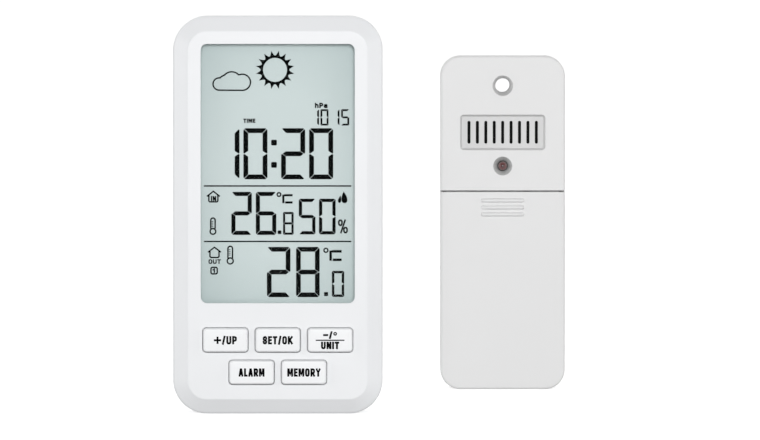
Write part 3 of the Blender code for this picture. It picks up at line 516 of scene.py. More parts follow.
def springTree():
    # a round wire wound about Z, then turned and put in place
    tree, given, result = newTree("woundWire", {
        "Base": "Float", "Tip": "Float", "Wire": "Float", "Length": "Float", "Turns": "Float",
        "Resolution": "Int", "Place": "Vector", "Turn": "Vector", "Finish": "Material"})
    spiral = tree.nodes.new("GeometryNodeCurveSpiral")
    wire = tree.nodes.new("GeometryNodeCurvePrimitiveCircle")
    wire.inputs["Resolution"].default_value = 12
    tube = tree.nodes.new("GeometryNodeCurveToMesh")
    tube.inputs["Fill Caps"].default_value = True
    put = tree.nodes.new("GeometryNodeTransform")
    smooth = tree.nodes.new("GeometryNodeSetShadeSmooth")
    real = tree.nodes.new("GeometryNodeRealizeInstances")
    finish = tree.nodes.new("GeometryNodeSetMaterial")
    linkAll(tree,
            (given.outputs["Resolution"], spiral.inputs["Resolution"]),
            (given.outputs["Turns"], spiral.inputs["Rotations"]),
            (given.outputs["Base"], spiral.inputs["Start Radius"]),
            (given.outputs["Tip"], spiral.inputs["End Radius"]),
            (given.outputs["Length"], spiral.inputs["Height"]),
            (given.outputs["Wire"], wire.inputs["Radius"]),
            (spiral.outputs["Curve"], tube.inputs["Curve"]),
            (wire.outputs["Curve"], tube.inputs["Profile Curve"]),
            (tube.outputs["Mesh"], put.inputs["Geometry"]),
            (given.outputs["Place"], put.inputs["Translation"]),
            (given.outputs["Turn"], put.inputs["Rotation"]),
            (put.outputs["Geometry"], smooth.inputs["Geometry"]),
            (smooth.outputs["Geometry"], real.inputs["Geometry"]),
            (real.outputs["Geometry"], finish.inputs["Geometry"]),
            (given.outputs["Finish"], finish.inputs["Material"]),
            (finish.outputs["Geometry"], result.inputs["Geometry"]))
    return tree


trees = {"row": rowTree(), "spots": spotTree(), "spring": springTree()}


def grow(name, treeName, values, points=()):
    # runs a tree in a modifier and keeps its result as a plain mesh
    mesh = bpy.data.meshes.new(name)
    mesh.from_pydata([Vector(point) * mm for point in points], [], [])
    piece = bpy.data.objects.new(name, mesh)
    bpy.context.scene.collection.objects.link(piece)
    modifier = piece.modifiers.new("grow", "NODES")
    modifier.node_group = trees[treeName]
    for item in trees[treeName].interface.items_tree:
        if item.in_out == "INPUT" and item.name in values:
            modifier[item.identifier] = values[item.name]
    settle(piece)
    return piece


def growRow(name, template, count, start, step, finish):
    values = {"Template": template, "Count": count, "Start": Vector(start) * mm, "Step": Vector(step) * mm,
              "Finish": finishes[finish]}
    piece = grow(name, "row", values)
    bpy.data.objects.remove(template, do_unlink=True)
    return piece


def rowCutter(name, template, count, start, step):
    # the copies as a bmesh in millimetres, to cut with
    row = growRow(name, template, count, start, step, "innerPlastic")
    bm = bmesh.new()
    bm.from_mesh(row.data)
    bmesh.ops.scale(bm, verts=bm.verts, vec=(1 / mm, 1 / mm, 1 / mm))
    bpy.data.objects.remove(row, do_unlink=True)
    return bm


view = {
    "middle": (31.65, -12.0, 60.2), "distance": 3000.0, "elevation": 2.15,
    "fieldWidth": 235.2, "sensor": 36.0,
}


def makeCamera():
    camera = bpy.data.objects.new("camera", bpy.data.cameras.new("camera"))
    bpy.context.scene.collection.objects.link(camera)
    tilt = math.radians(view["elevation"])
    middle = Vector(view["middle"])
    spot = middle + Vector((0, -math.cos(tilt), math.sin(tilt))) * view["distance"]
    camera.location = spot * mm
    camera.rotation_euler = (middle - spot).to_track_quat("-Z", "Y").to_euler()
    camera.data.sensor_width = view["sensor"]
    camera.data.lens = view["sensor"] * view["distance"] / view["fieldWidth"]
    camera.data.clip_start = 0.01
    camera.data.clip_end = 100
    bpy.context.scene.camera = camera


studio = {
    "behind": 1.08, "ahead": 0.3, "below": 0.48,  # how bright the room is on each side
    "floor": 0.94, "floorGlow": 0.46, "floorReach": 40000, "floorThickness": 20, "floorGap": 0.02,
    "aim": (0.035, 0.0, 0.06),
    "lamps": {  # place, size in metres, power in watts
        "key": ((0.14, -1.42, 0.44), (0.7, 0.44), 12.8),
        "left": ((-1.3, -0.42, 0.2), (0.5, 0.9), 4.9),
        "right": ((1.35, -0.42, 0.2), (0.5, 0.9), 3.7),
    },
}


def makeRoom():
    # a pale wall of light behind, a dimmer room ahead, and less from below
    world = bpy.data.worlds.new("studio")
    world.use_nodes = True
    tree = world.node_tree
    background = tree.nodes["Background"]
    background.inputs["Color"].default_value = (1, 1, 1, 1)
    direction = tree.nodes.new("ShaderNodeTexCoord")
    parts = tree.nodes.new("ShaderNodeSeparateXYZ")
    depth = tree.nodes.new("ShaderNodeMapRange")
    height = tree.nodes.new("ShaderNodeMapRange")
    depth.inputs["From Min"].default_value = 0.0
    depth.inputs["From Max"].default_value = 0.3
    depth.inputs["To Min"].default_value = studio["ahead"]
    depth.inputs["To Max"].default_value = studio["behind"]
    height.inputs["From Min"].default_value = -0.1
    height.inputs["From Max"].default_value = 0.0
    height.inputs["To Min"].default_value = studio["below"]
    tree.links.new(direction.outputs["Generated"], parts.inputs["Vector"])
    tree.links.new(parts.outputs["Y"], depth.inputs["Value"])
    tree.links.new(parts.outputs["Z"], height.inputs["Value"])
    tree.links.new(depth.outputs["Result"], height.inputs["To Max"])
    tree.links.new(height.outputs["Result"], background.inputs["Strength"])
    bpy.context.scene.world = world


def makeStudio():
    scene = bpy.context.scene
    scene.view_settings.view_transform = "Standard"
    makeRoom()
    aim = Vector(studio["aim"])
    for name, (spot, size, power) in studio["lamps"].items():
        lamp = bpy.data.lights.new(name, "AREA")
        lamp.shape = "RECTANGLE"
        lamp.size, lamp.size_y = size
        lamp.energy = power
        made = bpy.data.objects.new(name, lamp)
        made.location = spot
        made.rotation_euler = (aim - Vector(spot)).to_track_quat("-Z", "Y").to_euler()
        scene.collection.objects.link(made)
    bm = bmesh.new()
    reach = studio["floorReach"]
    block(bm, (-reach, -reach, -studio["floorThickness"]), (reach, reach, -studio["floorGap"]))
    floor = asObject(bm, "floor")
    floor.visible_diffuse = False
    shade = studio["floor"]
    glow = {"Emission_Color": (1, 1, 1, 1), "Emission_Strength": studio["floorGlow"]}
    paleFloor = newMaterial("paleFloor", (shade, shade, shade), 0.6, Specular_IOR_Level=0.2, **glow)
    roughen(paleFloor, grain(paleFloor, 30), 0.55, 0.7)
    floor.data.materials.append(paleFloor)


makeCamera()
makeStudio()
print("camera and studio set")


console = {
    "corner": 10.5,
    "wall": 2.0,
    "rim": 4.65, "rimDepth": 3.2,
    "windowLap": 1.4, "windowCorner": 2.0, "windowWall": 1.2,
    "flange": 1.0, "keyClearance": 0.4, "keyCorner": 0.9,
    "edge": 0.18,
}
caseLow, caseHigh = boxOf("console_front_case")
backHigh = boxOf("console_back_case")[1]
lensLow, lensHigh = boxOf("display_lens")
lcdLow, lcdHigh = boxOf("lcd_glass")
consoleSize = (caseHigh.x - caseLow.x, caseHigh.z - caseLow.z)
consoleMiddle = ((caseHigh.x + caseLow.x) / 2, (caseHigh.z + caseLow.z) / 2)
windowMiddle = ((lensHigh.x + lensLow.x) / 2, (lensHigh.z + lensLow.z) / 2)
lensLap = 2 * console["windowLap"]
windowSize = (lensHigh.x - lensLow.x - lensLap, lensHigh.z - lensLow.z - lensLap)
keyNames = ("button_plus", "button_set", "button_minus", "button_alarm", "button_memory")


def keyPlace(node):
    # middle and size of a key's cap, without the flange behind the panel
    low, high = boxOf(node)
    size = (high.x - low.x - 2 * console["flange"], high.z - low.z - 2 * console["flange"])
    return ((low.x + high.x) / 2, (low.z + high.z) / 2), size


def makeFrontCase():
    front, back = caseLow.y, caseHigh.y
    rim, wall = console["rim"], console["wall"]
    profile = eased([
        (front, rim + 4, 0),
        (front, rim, 0.25),
        (front + console["rimDepth"], 0, 0.9),
        (back, 0, 0.25),
        (back, wall, 0.2),
        (front + wall + 2.7, wall, 0.6),
        (front + wall, rim + 1.55, 0.3),
        (front + wall, rim + 4, 0),
    ])
    bm = bmesh.new()
    loft(bm, consoleMiddle, consoleSize, console["corner"], profile, 24)
    piece = asObject(bm, "consoleFront", "whiteCase")
    bm = bmesh.new()
    through = [(front - 1, 0), (front + wall + 1, 0)]
    loft(bm, windowMiddle, windowSize, console["windowCorner"], through)
    for node in keyNames:
        middle, size = keyPlace(node)
        clearance = 2 * console["keyClearance"]
        hole = (size[0] + clearance, size[1] + clearance)
        loft(bm, middle, hole, console["keyCorner"] + clearance / 2, through, 10)
    combine(piece, bm)
    bm = bmesh.new()
    lap = 2 * (console["windowLap"] + 0.3)
    pocket = (windowSize[0] + lap, windowSize[1] + lap)
    depth = [(front + console["windowWall"], 0), (front + wall + 1, 0)]
    loft(bm, windowMiddle, pocket, console["windowCorner"] + lap / 2, depth)
    combine(piece, bm)
    soften(piece, console["edge"])
    place(piece, "console", "white_case", "console_front_case")


def makeLens():
    bm = bmesh.new()
    size = (lensHigh.x - lensLow.x, lensHigh.z - lensLow.z)
    profile = eased([(lensLow.y, 3, 0), (lensLow.y, 0, 0.2), (lensHigh.y, 0, 0.2), (lensHigh.y, 3, 0)], 3)
    loft(bm, windowMiddle, size, console["windowCorner"] + console["windowLap"], profile)
    place(asObject(bm, "windowLens", "lens"), "console", "clear_lens", "display_lens")


def makeDisplayPane():
    bm = bmesh.new()
    size = (lcdHigh.x - lcdLow.x, lcdHigh.z - lcdLow.z)
    profile = eased([(lcdLow.y, 3, 0), (lcdLow.y, 0, 0.15), (lcdHigh.y, 0, 0.15), (lcdHigh.y, 3, 0)], 3)
    loft(bm, windowMiddle, size, console["windowCorner"] + console["windowLap"], profile)
    place(asObject(bm, "displayPane", "display"), "console", "display_glass", "lcd_glass")


makeFrontCase()
makeLens()
makeDisplayPane()
print("console front made")


# lettering: each letter's width in cap heights, then its strokes as x, z, x, z ...
ovalStroke = (0, 0.27, 0, 0.73, 0.09, 0.92, 0.3, 1, 0.7, 1, 0.91, 0.92, 1, 0.73,
              1, 0.27, 0.91, 0.08, 0.7, 0, 0.3, 0, 0.09, 0.08, 0, 0.27)
bowlStroke = (0, 0, 0, 1, 0.65, 1, 0.92, 0.93, 1, 0.8, 1, 0.63, 0.92, 0.5, 0.65, 0.43, 0.1, 0.43)
glyphs = {
    "A": (0.62, [(0, 0, 0.4, 1, 0.6, 1, 1, 0), (0.2, 0.27, 0.8, 0.27)]),
    "E": (0.5, [(1, 1, 0, 1, 0, 0, 1, 0), (0.1, 0.52, 0.88, 0.52)]),
    "I": (0.22, [(0, 0, 0, 1)]),
    "K": (0.62, [(0, 0, 0, 1), (1, 1, 0.1, 0.42), (0.38, 0.55, 1, 0)]),
    "L": (0.48, [(0, 1, 0, 0, 1, 0)]),
    "M": (0.76, [(0, 0, 0, 1, 0.16, 1, 0.5, 0.2, 0.84, 1, 1, 1, 1, 0)]),
    "N": (0.62, [(0, 0, 0, 1, 0.14, 1, 0.86, 0, 1, 0, 1, 1)]),
    "O": (0.6, [ovalStroke]),
    "P": (0.56, [bowlStroke]),
    "R": (0.6, [bowlStroke, (0.55, 0.4, 1, 0)]),
    "S": (0.56, [(1, 0.74, 0.93, 0.92, 0.7, 1, 0.3, 1, 0.07, 0.9, 0, 0.75, 0.07, 0.6,
                  0.93, 0.41, 1, 0.25, 0.93, 0.1, 0.7, 0, 0.3, 0, 0.07, 0.08, 0, 0.27)]),
    "T": (0.56, [(0, 1, 1, 1), (0.5, 0.9, 0.5, 0)]),
    "U": (0.6, [(0, 1, 0, 0.25, 0.09, 0.08, 0.3, 0, 0.7, 0, 0.91, 0.08, 1, 0.25, 1, 1)]),
    "Y": (0.62, [(0, 1, 0.5, 0.45, 1, 1), (0.5, 0.48, 0.5, 0)]),
    "h": (0.54, [(0, 0, 0, 1), (0.1, 0.55, 0.35, 0.68, 0.75, 0.68, 1, 0.52, 1, 0)]),
    "a": (0.54, [(0.1, 0.62, 0.35, 0.7, 0.75, 0.7, 1, 0.55, 1, 0),
                 (0.9, 0.4, 0.3, 0.4, 0, 0.3, 0, 0.1, 0.25, 0, 0.7, 0, 0.9, 0.1)]),
    "1": (0.5, [(0, 0.72, 0.75, 1, 0.75, 0)]),
    "+": (0.86, [(0, 0.5, 1, 0.5), (0.5, 0.08, 0.5, 0.42), (0.5, 0.58, 0.5, 0.92)]),
    "/": (0.42, [(0, -0.06, 1, 1.06)]),
    "-": (0.6, [(0, 0.5, 1, 0.5)]),
    "o": (0.45, [(0, 0.75, 0.15, 0.93, 0.5, 1, 0.85, 0.93, 1, 0.75,
                  0.85, 0.57, 0.5, 0.5, 0.15, 0.57, 0, 0.75)]),
    "%": (0.74, [(0, 0.7, 0, 0.9, 0.1, 1, 0.28, 1, 0.38, 0.9, 0.38, 0.7, 0.28, 0.6, 0.1, 0.6, 0, 0.7),
                 (0.62, 0.1, 0.62, 0.3, 0.72, 0.4, 0.9, 0.4, 1, 0.3, 1, 0.1, 0.9, 0, 0.72, 0, 0.62, 0.1),
                 (0.26, 0, 0.76, 1)]),
}


# the bars that are dark in each figure, from a at the top round to f, with g across the middle
litSegments = {"0": "abcdef", "1": "bc", "2": "abged", "5": "afgcd", "6": "afgedc", "8": "abcdefg"}
marks = {  # places are right of and below the window's top left corner
    "inkFront": 0.06, "inkBack": 0.01,  # ahead of the pane
    "line": 0.43,
    "digits": {  # text: left edges, top, width, height, stroke
        "clock": ("1020", (4.55, 13.2, 24.88, 33.56), 26.18, 7.43, 15.8, 1.47),
        "pressure": ("1015", (34.13, 37.07, 40.47, 43.47), 20.28, 2.48, 5.05, 0.57),
        "indoor": ("26", (9.46, 17.05), 45.9, 6.32, 13.32, 1.26),
        "indoorTenth": ("8", (25.46,), 52.12, 3.28, 7.05, 0.67),
        "humidity": ("50", (30.36, 36.61), 48.02, 5.14, 11.05, 1.0),
        "outdoor": ("28", (20.46, 29.51), 62.97, 7.28, 15.55, 1.44),
        "outdoorTenth": ("0", (40.6,), 70.38, 3.8, 8.08, 0.76),
    },
    "squares": {  # left, top, size
        "colonHigh": (21.8, 29.75, 1.75), "colonLow": (21.8, 36.65, 1.75),
        "indoorPoint": (23.8, 57.85, 1.15), "outdoorPoint": (38.15, 76.95, 1.25),
    },
    "dividers": {"left": 0.95, "right": 46.6, "heights": (43.85, 61.05), "width": 0.42},
    "sun": {"middle": (23.0, 8.1), "clear": 3.72, "ring": 4.45, "tip": 6.0, "taper": 2.2, "rays": 16},
    "cloud": {  # each hump's middle, radius, and where its arc starts and ends
        "left": (5.7, 12.48, 1.9, 90, 278), "notch": (6.5, 10.1),
        "middle": (9.6, 11.65, 2.96, 221, 317), "right": (12.9, 11.93, 2.5, 250, 450),
    },
    "thermometers": ((3.75, 54.0, 5.25, 1.1), (9.1, 62.75, 5.7, 1.15)),  # middle x, top, height, bulb radius
    "scale": {"left": 0.42, "right": 0.08, "first": 0.25, "pitch": 0.55, "thickness": 0.22, "count": 4},
    "houses": ((3.89, 45.6, 4.0, 3.6), (4.22, 62.95, 4.0, 3.5)),  # middle x, top, width, height
    "channel": {"middle": (4.1, 70.3), "size": (1.95, 2.05), "corner": 0.5},
    "degreeSigns": {  # middle of the ring, its radius; left, top, width, height and stroke of the C
        "indoor": ((24.2, 46.72), 0.56, (25.22, 46.6, 3.2, 2.9), 0.66),
        "outdoor": ((38.75, 64.0), 0.62, (39.82, 63.94, 3.8, 3.4), 0.78),
    },
    # middle x, tip, bottom, half width, and how far the tip leans
    "drops": ((42.95, 47.0, 49.3, 0.43, 0.35), (44.5, 45.75, 49.4, 0.8, -0.3)),
    "words": {  # word: middle x, middle z, width, height, weight
        "TIME": (15.05, 23.85, 3.7, 1.3, 0.34),
        "hPa": (37.3, 19.1, 3.9, 1.6, 0.42),
        "IN": (3.93, 47.95, 1.65, 1.55, 0.4),
        "OUT": (4.27, 67.5, 3.8, 1.4, 0.34),
        "1": (4.05, 70.3, 0.9, 1.4, 0.4),
        "%": (44.02, 56.6, 3.05, 4.3, 0.5),
    },
}
inkY = (lcdLow.y - marks["inkFront"], lcdLow.y - marks["inkBack"])


def onDisplay(x, z):
    left = windowMiddle[0] - windowSize[0] / 2
    top = windowMiddle[1] + windowSize[1] / 2
    return left + x, top - z


def segmentShapes(width, height, stroke):
    # the seven bars of a figure, mitred with a hairline gap
    gap = 0.07 * stroke
    cut = 0.4 * stroke
    half = height / 2
    near, far = (cut - gap) / 2, (cut + gap) / 2
    top = [(cut, 0), (width - cut, 0), (width - far, near), (width - stroke - gap, stroke),
           (stroke + gap, stroke), (far, near)]
    upper = [(0, cut), (near, far), (stroke, stroke + gap), (stroke, half - 0.6 * stroke),
             (0.2 * stroke, half - 0.05 * stroke), (0, half - 0.17 * stroke)]
    tip, shoulder = 0.33 * stroke, 0.97 * stroke
    bar = [(tip, half), (shoulder, half - stroke / 2), (width - shoulder, half - stroke / 2),
           (width - tip, half), (width - shoulder, half + stroke / 2), (shoulder, half + stroke / 2)]
    right = [(width - x, z) for x, z in upper]
    down = [[(x, height - z) for x, z in shape] for shape in (top, upper, right)]
    return {"a": top, "f": upper, "b": right, "d": down[0], "e": down[1], "c": down[2], "g": bar}


def squareEnds(points, more):
    # both ends of an open stroke pushed out by half its width
    longer = list(points)
    for end, inside in ((0, 1), (-1, -2)):
        here, before = Vector(points[end]), Vector(points[inside])
        longer[end] = tuple(here + (here - before).normalized() * more)
    return longer


def addWord(bm, word, middle, size, weight, yFront, yBack, slot=0):
    # a word in bold strokes, fitted to size about its middle
    inner = (size[1] - weight) / size[1]
    space = 0.1
    natural = sum(glyphs[character][0] for character in word) + space * (len(word) - 1)
    stretch = size[0] / natural
    left = middle[0] - size[0] / 2
    for character in word:
        width, strokes = glyphs[character]
        line = weight * 0.6 if character == "o" else weight
        reach = width * stretch - line
        for stroke in strokes:
            pairs = list(zip(stroke[::2], stroke[1::2]))
            closed = pairs[0] == pairs[-1] and len(pairs) > 2
            points = []
            for x, z in pairs[:-1] if closed else pairs:
                across = left + line / 2 + x * reach if reach > 0.05 else left + width * stretch / 2
                points.append((across, middle[1] + (z - 0.5) * size[1] * inner))
            if not closed:
                points = squareEnds(points, line / 2)
            ribbon(bm, points, line, yFront, yBack, closed, slot)
        left += (width + space) * stretch


def inkShape(bm, points):
    slab(bm, [onDisplay(x, z) for x, z in points], *inkY)


def inkBar(bm, left, top, right, bottom):
    inkShape(bm, [(left, top), (right, top), (right, bottom), (left, bottom)])


def inkLine(bm, points, width=marks["line"], closed=True):
    ribbon(bm, [onDisplay(x, z) for x, z in points], width, *inkY, closed)


def drawDigits(bm):
    for text, lefts, top, width, height, stroke in marks["digits"].values():
        shapes = segmentShapes(width, height, stroke)
        for character, left in zip(text, lefts):
            for letter in litSegments[character]:
                inkShape(bm, [(left + x, top + z) for x, z in shapes[letter]])
    for left, top, size in marks["squares"].values():
        corners = outline(size, size, 0.2 * size, 4)
        inkShape(bm, [(left + size / 2 + x, top + size / 2 + z) for x, z in corners])


def drawDividers(bm):
    dividers = marks["dividers"]
    for height in dividers["heights"]:
        inkBar(bm, dividers["left"], height, dividers["right"], height + dividers["width"])


def drawSun(bm):
    # a ring whose outer edge is drawn out to points between round scallops
    sun = marks["sun"]
    perRay = 12
    outer = []
    for i in range(sun["rays"] * perRay):
        angle = 2 * math.pi * (i / perRay + 0.5) / sun["rays"] + math.pi / 2
        off = abs((i % perRay) / perRay - 0.5) * 2  # 1 at a ray's tip, 0 in the middle of a scallop
        outer.append((angle, sun["ring"] + (sun["tip"] - sun["ring"]) * off ** sun["taper"]))
    inner = [(angle, sun["clear"]) for angle, reach in outer]
    middleX, middleZ = sun["middle"]
    front, back = inkY
    rings = []
    for edge, y in ((outer, front), (outer, back), (inner, back), (inner, front)):
        ring = []
        for angle, reach in edge:
            x, z = onDisplay(middleX + reach * math.cos(angle), middleZ + reach * math.sin(angle))
            ring.append(bm.verts.new((x, y, z)))
        rings.append(ring)
    skin(bm, rings, closed=True)


def drawCloud(bm):
    # three humps over a flat base
    cloud = marks["cloud"]
    points = arc(*cloud["left"], 16) + [cloud["notch"]]
    inkLine(bm, points + arc(*cloud["middle"], 14) + arc(*cloud["right"], 20))


def drawThermometers(bm):
    scale = marks["scale"]
    for middleX, top, height, bulb in marks["thermometers"]:
        bulbZ = top + height - bulb
        inkLine(bm, arc(middleX, bulbZ, bulb - marks["line"] / 2, 0, 360, 24)[:-1])
        stem = 0.62 * bulb
        neck = bulbZ - math.sqrt(bulb ** 2 - stem ** 2)
        roundTop = arc(middleX, top + stem, stem, 180, 360, 12)
        inkLine(bm, [(middleX - stem, neck)] + roundTop + [(middleX + stem, neck)], closed=False)
        for step in range(scale["count"]):
            z = top + stem + scale["first"] + scale["pitch"] * step
            inkBar(bm, middleX - scale["left"], z, middleX + scale["right"], z + scale["thickness"])


def drawHouses(bm):
    for middleX, top, width, height in marks["houses"]:
        half, eave = width / 2, top + 0.47 * height
        inkLine(bm, [(middleX - half, eave), (middleX, top + 0.12), (middleX + half, eave)], closed=False)
        wall, low, corner = 0.7 * half, top + height - marks["line"] / 2, 0.3
        left = [(middleX - wall, eave - 0.4), (middleX - wall, low - corner), (middleX - wall + corner, low)]
        right = [(middleX + wall - corner, low), (middleX + wall, low - corner), (middleX + wall, eave - 0.4)]
        inkLine(bm, left + right, closed=False)


def drawChannelFrame(bm):
    channel = marks["channel"]
    x, z = channel["middle"]
    corners = outline(*channel["size"], channel["corner"], 5)
    inkLine(bm, [(x + across, z + up) for across, up in corners])


def drawDegreeSigns(bm):
    for ring, radius, (left, top, width, height), stroke in marks["degreeSigns"].values():
        inkLine(bm, arc(ring[0], ring[1], radius, 0, 360, 20)[:-1])
        half = stroke / 2
        inkLine(bm, [(left + width, top + half), (left + stroke, top + half)], stroke, False)
        inkLine(bm, [(left + half, top + 0.15), (left + half, top + height - 0.1)], stroke, False)
        foot = top + height - half
        inkLine(bm, [(left + width, foot), (left + stroke + 0.25, foot)], stroke, False)


def drawDrops(bm):
    sides = 24
    for x, tip, low, half, lean in marks["drops"]:
        points = []
        for step in range(sides):
            turn = 2 * math.pi * step / sides
            down = (1 - math.cos(turn)) / 2
            swell = math.sin(turn) * math.sin(turn / 2) ** 1.2 * 1.55
            points.append((x + half * swell + lean * (1 - down) ** 2, tip + (low - tip) * down))
        inkShape(bm, points)


def makeDisplayMarks():
    bm = bmesh.new()
    drawDigits(bm)
    drawDividers(bm)
    drawSun(bm)
    drawCloud(bm)
    drawThermometers(bm)
    drawHouses(bm)
    drawChannelFrame(bm)
    drawDegreeSigns(bm)
    drawDrops(bm)
    for word, (x, z, width, height, weight) in marks["words"].items():
        addWord(bm, word, onDisplay(x, z), (width, height), weight, *inkY)
    place(asObject(bm, "displayMarks", "segmentInk"), "console", "display_glass")


makeDisplayMarks()
print("display marks made")


keys = {
    "round": 0.42, "taper": 0.26, "step": 0.45, "flat": 2.6, "faceInset": 0.12, "flangeThickness": 1.0,
    "legendRise": 0.025, "legendSink": 0.1, "legendWeight": 0.6,
    "legends": {  # words: text, height of its middle above the key's middle, width, height
        "button_plus": [("+/UP", 0, 7.1, 2.55)],
        "button_set": [("SET/OK", 0, 9.3, 2.55)],
        "button_minus": [("-/o", 1.6, 4.3, 2.2), ("UNIT", -1.6, 5.6, 2.3)],
        "button_alarm": [("ALARM", 0, 8.0, 2.55)],
        "button_memory": [("MEMORY", 0, 10.3, 2.55)],
    },
    "rule": (8.9, 0.36),  # the line between the two rows of a legend: length, thickness
}


def makeKeys():
    for node in keyNames:
        low, high = boxOf(node)
        middle, size = keyPlace(node)
        face = low.y
        flangeFront = high.y - keys["flangeThickness"]
        profile = eased([
            (face, keys["flat"], 0),
            (face, keys["faceInset"], keys["round"]),
            (caseLow.y + keys["step"], -keys["taper"], 0.15),
            (flangeFront, -keys["taper"], 0),
            (flangeFront, -console["flange"], 0),
            (high.y, -console["flange"], 0),
        ], 6)
        bm = bmesh.new()
        loft(bm, middle, size, console["keyCorner"], profile, 10)
        inkFront, inkBack = face - keys["legendRise"], face + keys["legendSink"]
        for word, up, width, height in keys["legends"][node]:
            spot = (middle[0], middle[1] + up)
            addWord(bm, word, spot, (width, height), keys["legendWeight"], inkFront, inkBack, 1)
        if len(keys["legends"][node]) > 1:
            half, thin = (side / 2 for side in keys["rule"])
            corners = [(-half, -thin), (half, -thin), (half, thin), (-half, thin)]
            slab(bm, [(middle[0] + x, middle[1] + z) for x, z in corners], inkFront, inkBack, 1)
        piece = asObject(bm, node.replace("button_", "key_"), "whiteKey", "legendInk")
        place(piece, node, "white_key", node)


makeKeys()
print("keys made")


backCase = {
    "edge": 2.0, "gap": 0.3,
    "bayWall": 1.2, "doorLap": 0.9, "doorThickness": 1.8,
    "recessWidth": 31.6, "recessWall": 3.3, "recessDepth": 2.6, "notch": (2.5, 3.7),
    "pinHole": 1.1, "pinReach": 17.4,
    "wellRadius": 2.4, "holeRadius": 1.4, "bossSide": 3.15, "screwSink": 3.0,
    "slotCount": 6, "slotPitch": 2.2, "slotSize": (7.0, 1.0), "slotStart": 22.5,
}
doorLow, doorHigh = boxOf("console_battery_door")
standLow, standHigh = boxOf("console_stand")


def cutWells(piece, screws, face, start):
    # a head well and a clearance hole for each screw, both towards -Y
    bm = bmesh.new()
    for node in screws:
        low, high = boxOf(node)
        x, z = (low.x + high.x) / 2, (low.z + high.z) / 2
        seat = face - backCase["screwSink"] - start + 1
        profile = [(0, backCase["holeRadius"]), (seat, backCase["holeRadius"]),
                   (seat, backCase["wellRadius"]), (face - start + 2, backCase["wellRadius"])]
        lathe(bm, (x, start - 1, z), alongY, profile, 32)
    combine(piece, bm)


def makeBackCase():
    wall, gap = console["wall"], backCase["gap"]
    start, back = caseHigh.y + gap, backHigh.y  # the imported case's lowest Y is its battery bay
    profile = eased([
        (back, 6, 0),
        (back, 0, backCase["edge"]),
        (start, 0, 0.25),
        (start, wall, 0.2),
        (back - wall, wall, 1.2),
        (back - wall, 6, 0),
    ], 7)
    bm = bmesh.new()
    loft(bm, consoleMiddle, consoleSize, console["corner"], profile, 24)
    piece = asObject(bm, "consoleBack", "whiteCase")

    bayMiddle = ((doorLow.x + doorHigh.x) / 2, (doorLow.z + doorHigh.z) / 2)
    lap = backCase["doorLap"] - gap
    bay = (doorHigh.x - doorLow.x - 2 * lap, doorHigh.z - doorLow.z - 2 * lap)
    cellLow = boxOf("console_battery_1")[0]
    floorY = cellLow.y - gap
    rim = 2 * (backCase["doorLap"] + backCase["bayWall"])
    outer = (bay[0] + rim, bay[1] + rim)
    bm = bmesh.new()
    loft(bm, bayMiddle, outer, 1, [(floorY - backCase["bayWall"], 0), (back - 1, 0)], 4)
    combine(piece, bm, "UNION")
    bm = bmesh.new()
    loft(bm, bayMiddle, bay, 0.5, [(floorY, 0), (back + 1, 0)], 4)
    combine(piece, bm)
    bm = bmesh.new()
    step = (bay[0] + 2 * backCase["doorLap"], bay[1] + 2 * backCase["doorLap"])
    loft(bm, bayMiddle, step, 1.5, [(back - backCase["doorThickness"] - gap, 0), (back + 1, 0)], 8)
    combine(piece, bm)

    recessY = back - backCase["recessDepth"]
    recessLow, recessHigh = standLow.z - gap, standHigh.z + gap
    recess = ((standLow.x + standHigh.x) / 2, (recessLow + recessHigh) / 2)
    recessSize = (backCase["recessWidth"], recessHigh - recessLow)
    rim = 2 * backCase["recessWall"]
    outer = (recessSize[0] + rim, recessSize[1] + rim)
    bm = bmesh.new()
    loft(bm, recess, outer, 1, [(recessY - backCase["bayWall"], 0), (back - 1, 0)], 4)
    combine(piece, bm, "UNION")
    bm = bmesh.new()
    loft(bm, recess, recessSize, 0.5, [(recessY, 0), (back + 1, 0)], 5)
    combine(piece, bm)
    bm = bmesh.new()
    inner, mouth = backCase["notch"]
    notch = [(0, inner), (backCase["recessDepth"] + 1, mouth)]
    lathe(bm, (recess[0], recessY, recessLow), alongY, notch, 40)
    combine(piece, bm)
    bm = bmesh.new()
    reach = backCase["pinReach"]
    hinge = (-reach, (standLow.y + standHigh.y) / 2, standHigh.z - stand["thickness"] / 2)
    lathe(bm, hinge, alongX, [(0, backCase["pinHole"]), (2 * reach, backCase["pinHole"])], 24)
    combine(piece, bm)

    screws = [f"console_screw_{i}" for i in (1, 2, 3, 4)]
    side = backCase["bossSide"]
    for node in screws:
        low, high = boxOf(node)
        x, z = (low.x + high.x) / 2, (low.z + high.z) / 2
        bm = bmesh.new()
        block(bm, (x - side, start + 0.02, z - side), (x + side, back - 1, z + side))
        combine(piece, bm, "UNION")
    cutWells(piece, screws, back, start)

    probeLow, probeHigh = boxOf("indoor_probe")
    bm = bmesh.new()
    loft(bm, (0, 0), backCase["slotSize"], 0.49, [(-wall - 1, 0), (1, 0)], 6)
    slot = asObject(bm, "slot")
    first = ((probeLow.x + probeHigh.x) / 2, back, backCase["slotStart"])
    combine(piece, rowCutter("airSlots", slot, backCase["slotCount"], first, (0, 0, backCase["slotPitch"])))
    soften(piece, 0.2, 2)
    place(piece, "console", "white_case", "console_back_case")


consoleDoor = {
    "corner": 1.2, "edge": 0.35,
    "grooveCount": 6, "grooveSize": (11.0, 0.7), "groovePitch": 1.3, "grooveUp": 3.2, "grooveDepth": 0.5,
    "arrowHalf": 1.9, "arrowHeight": 2.0, "arrowUp": 0.8, "arrowDepth": 0.25,
}


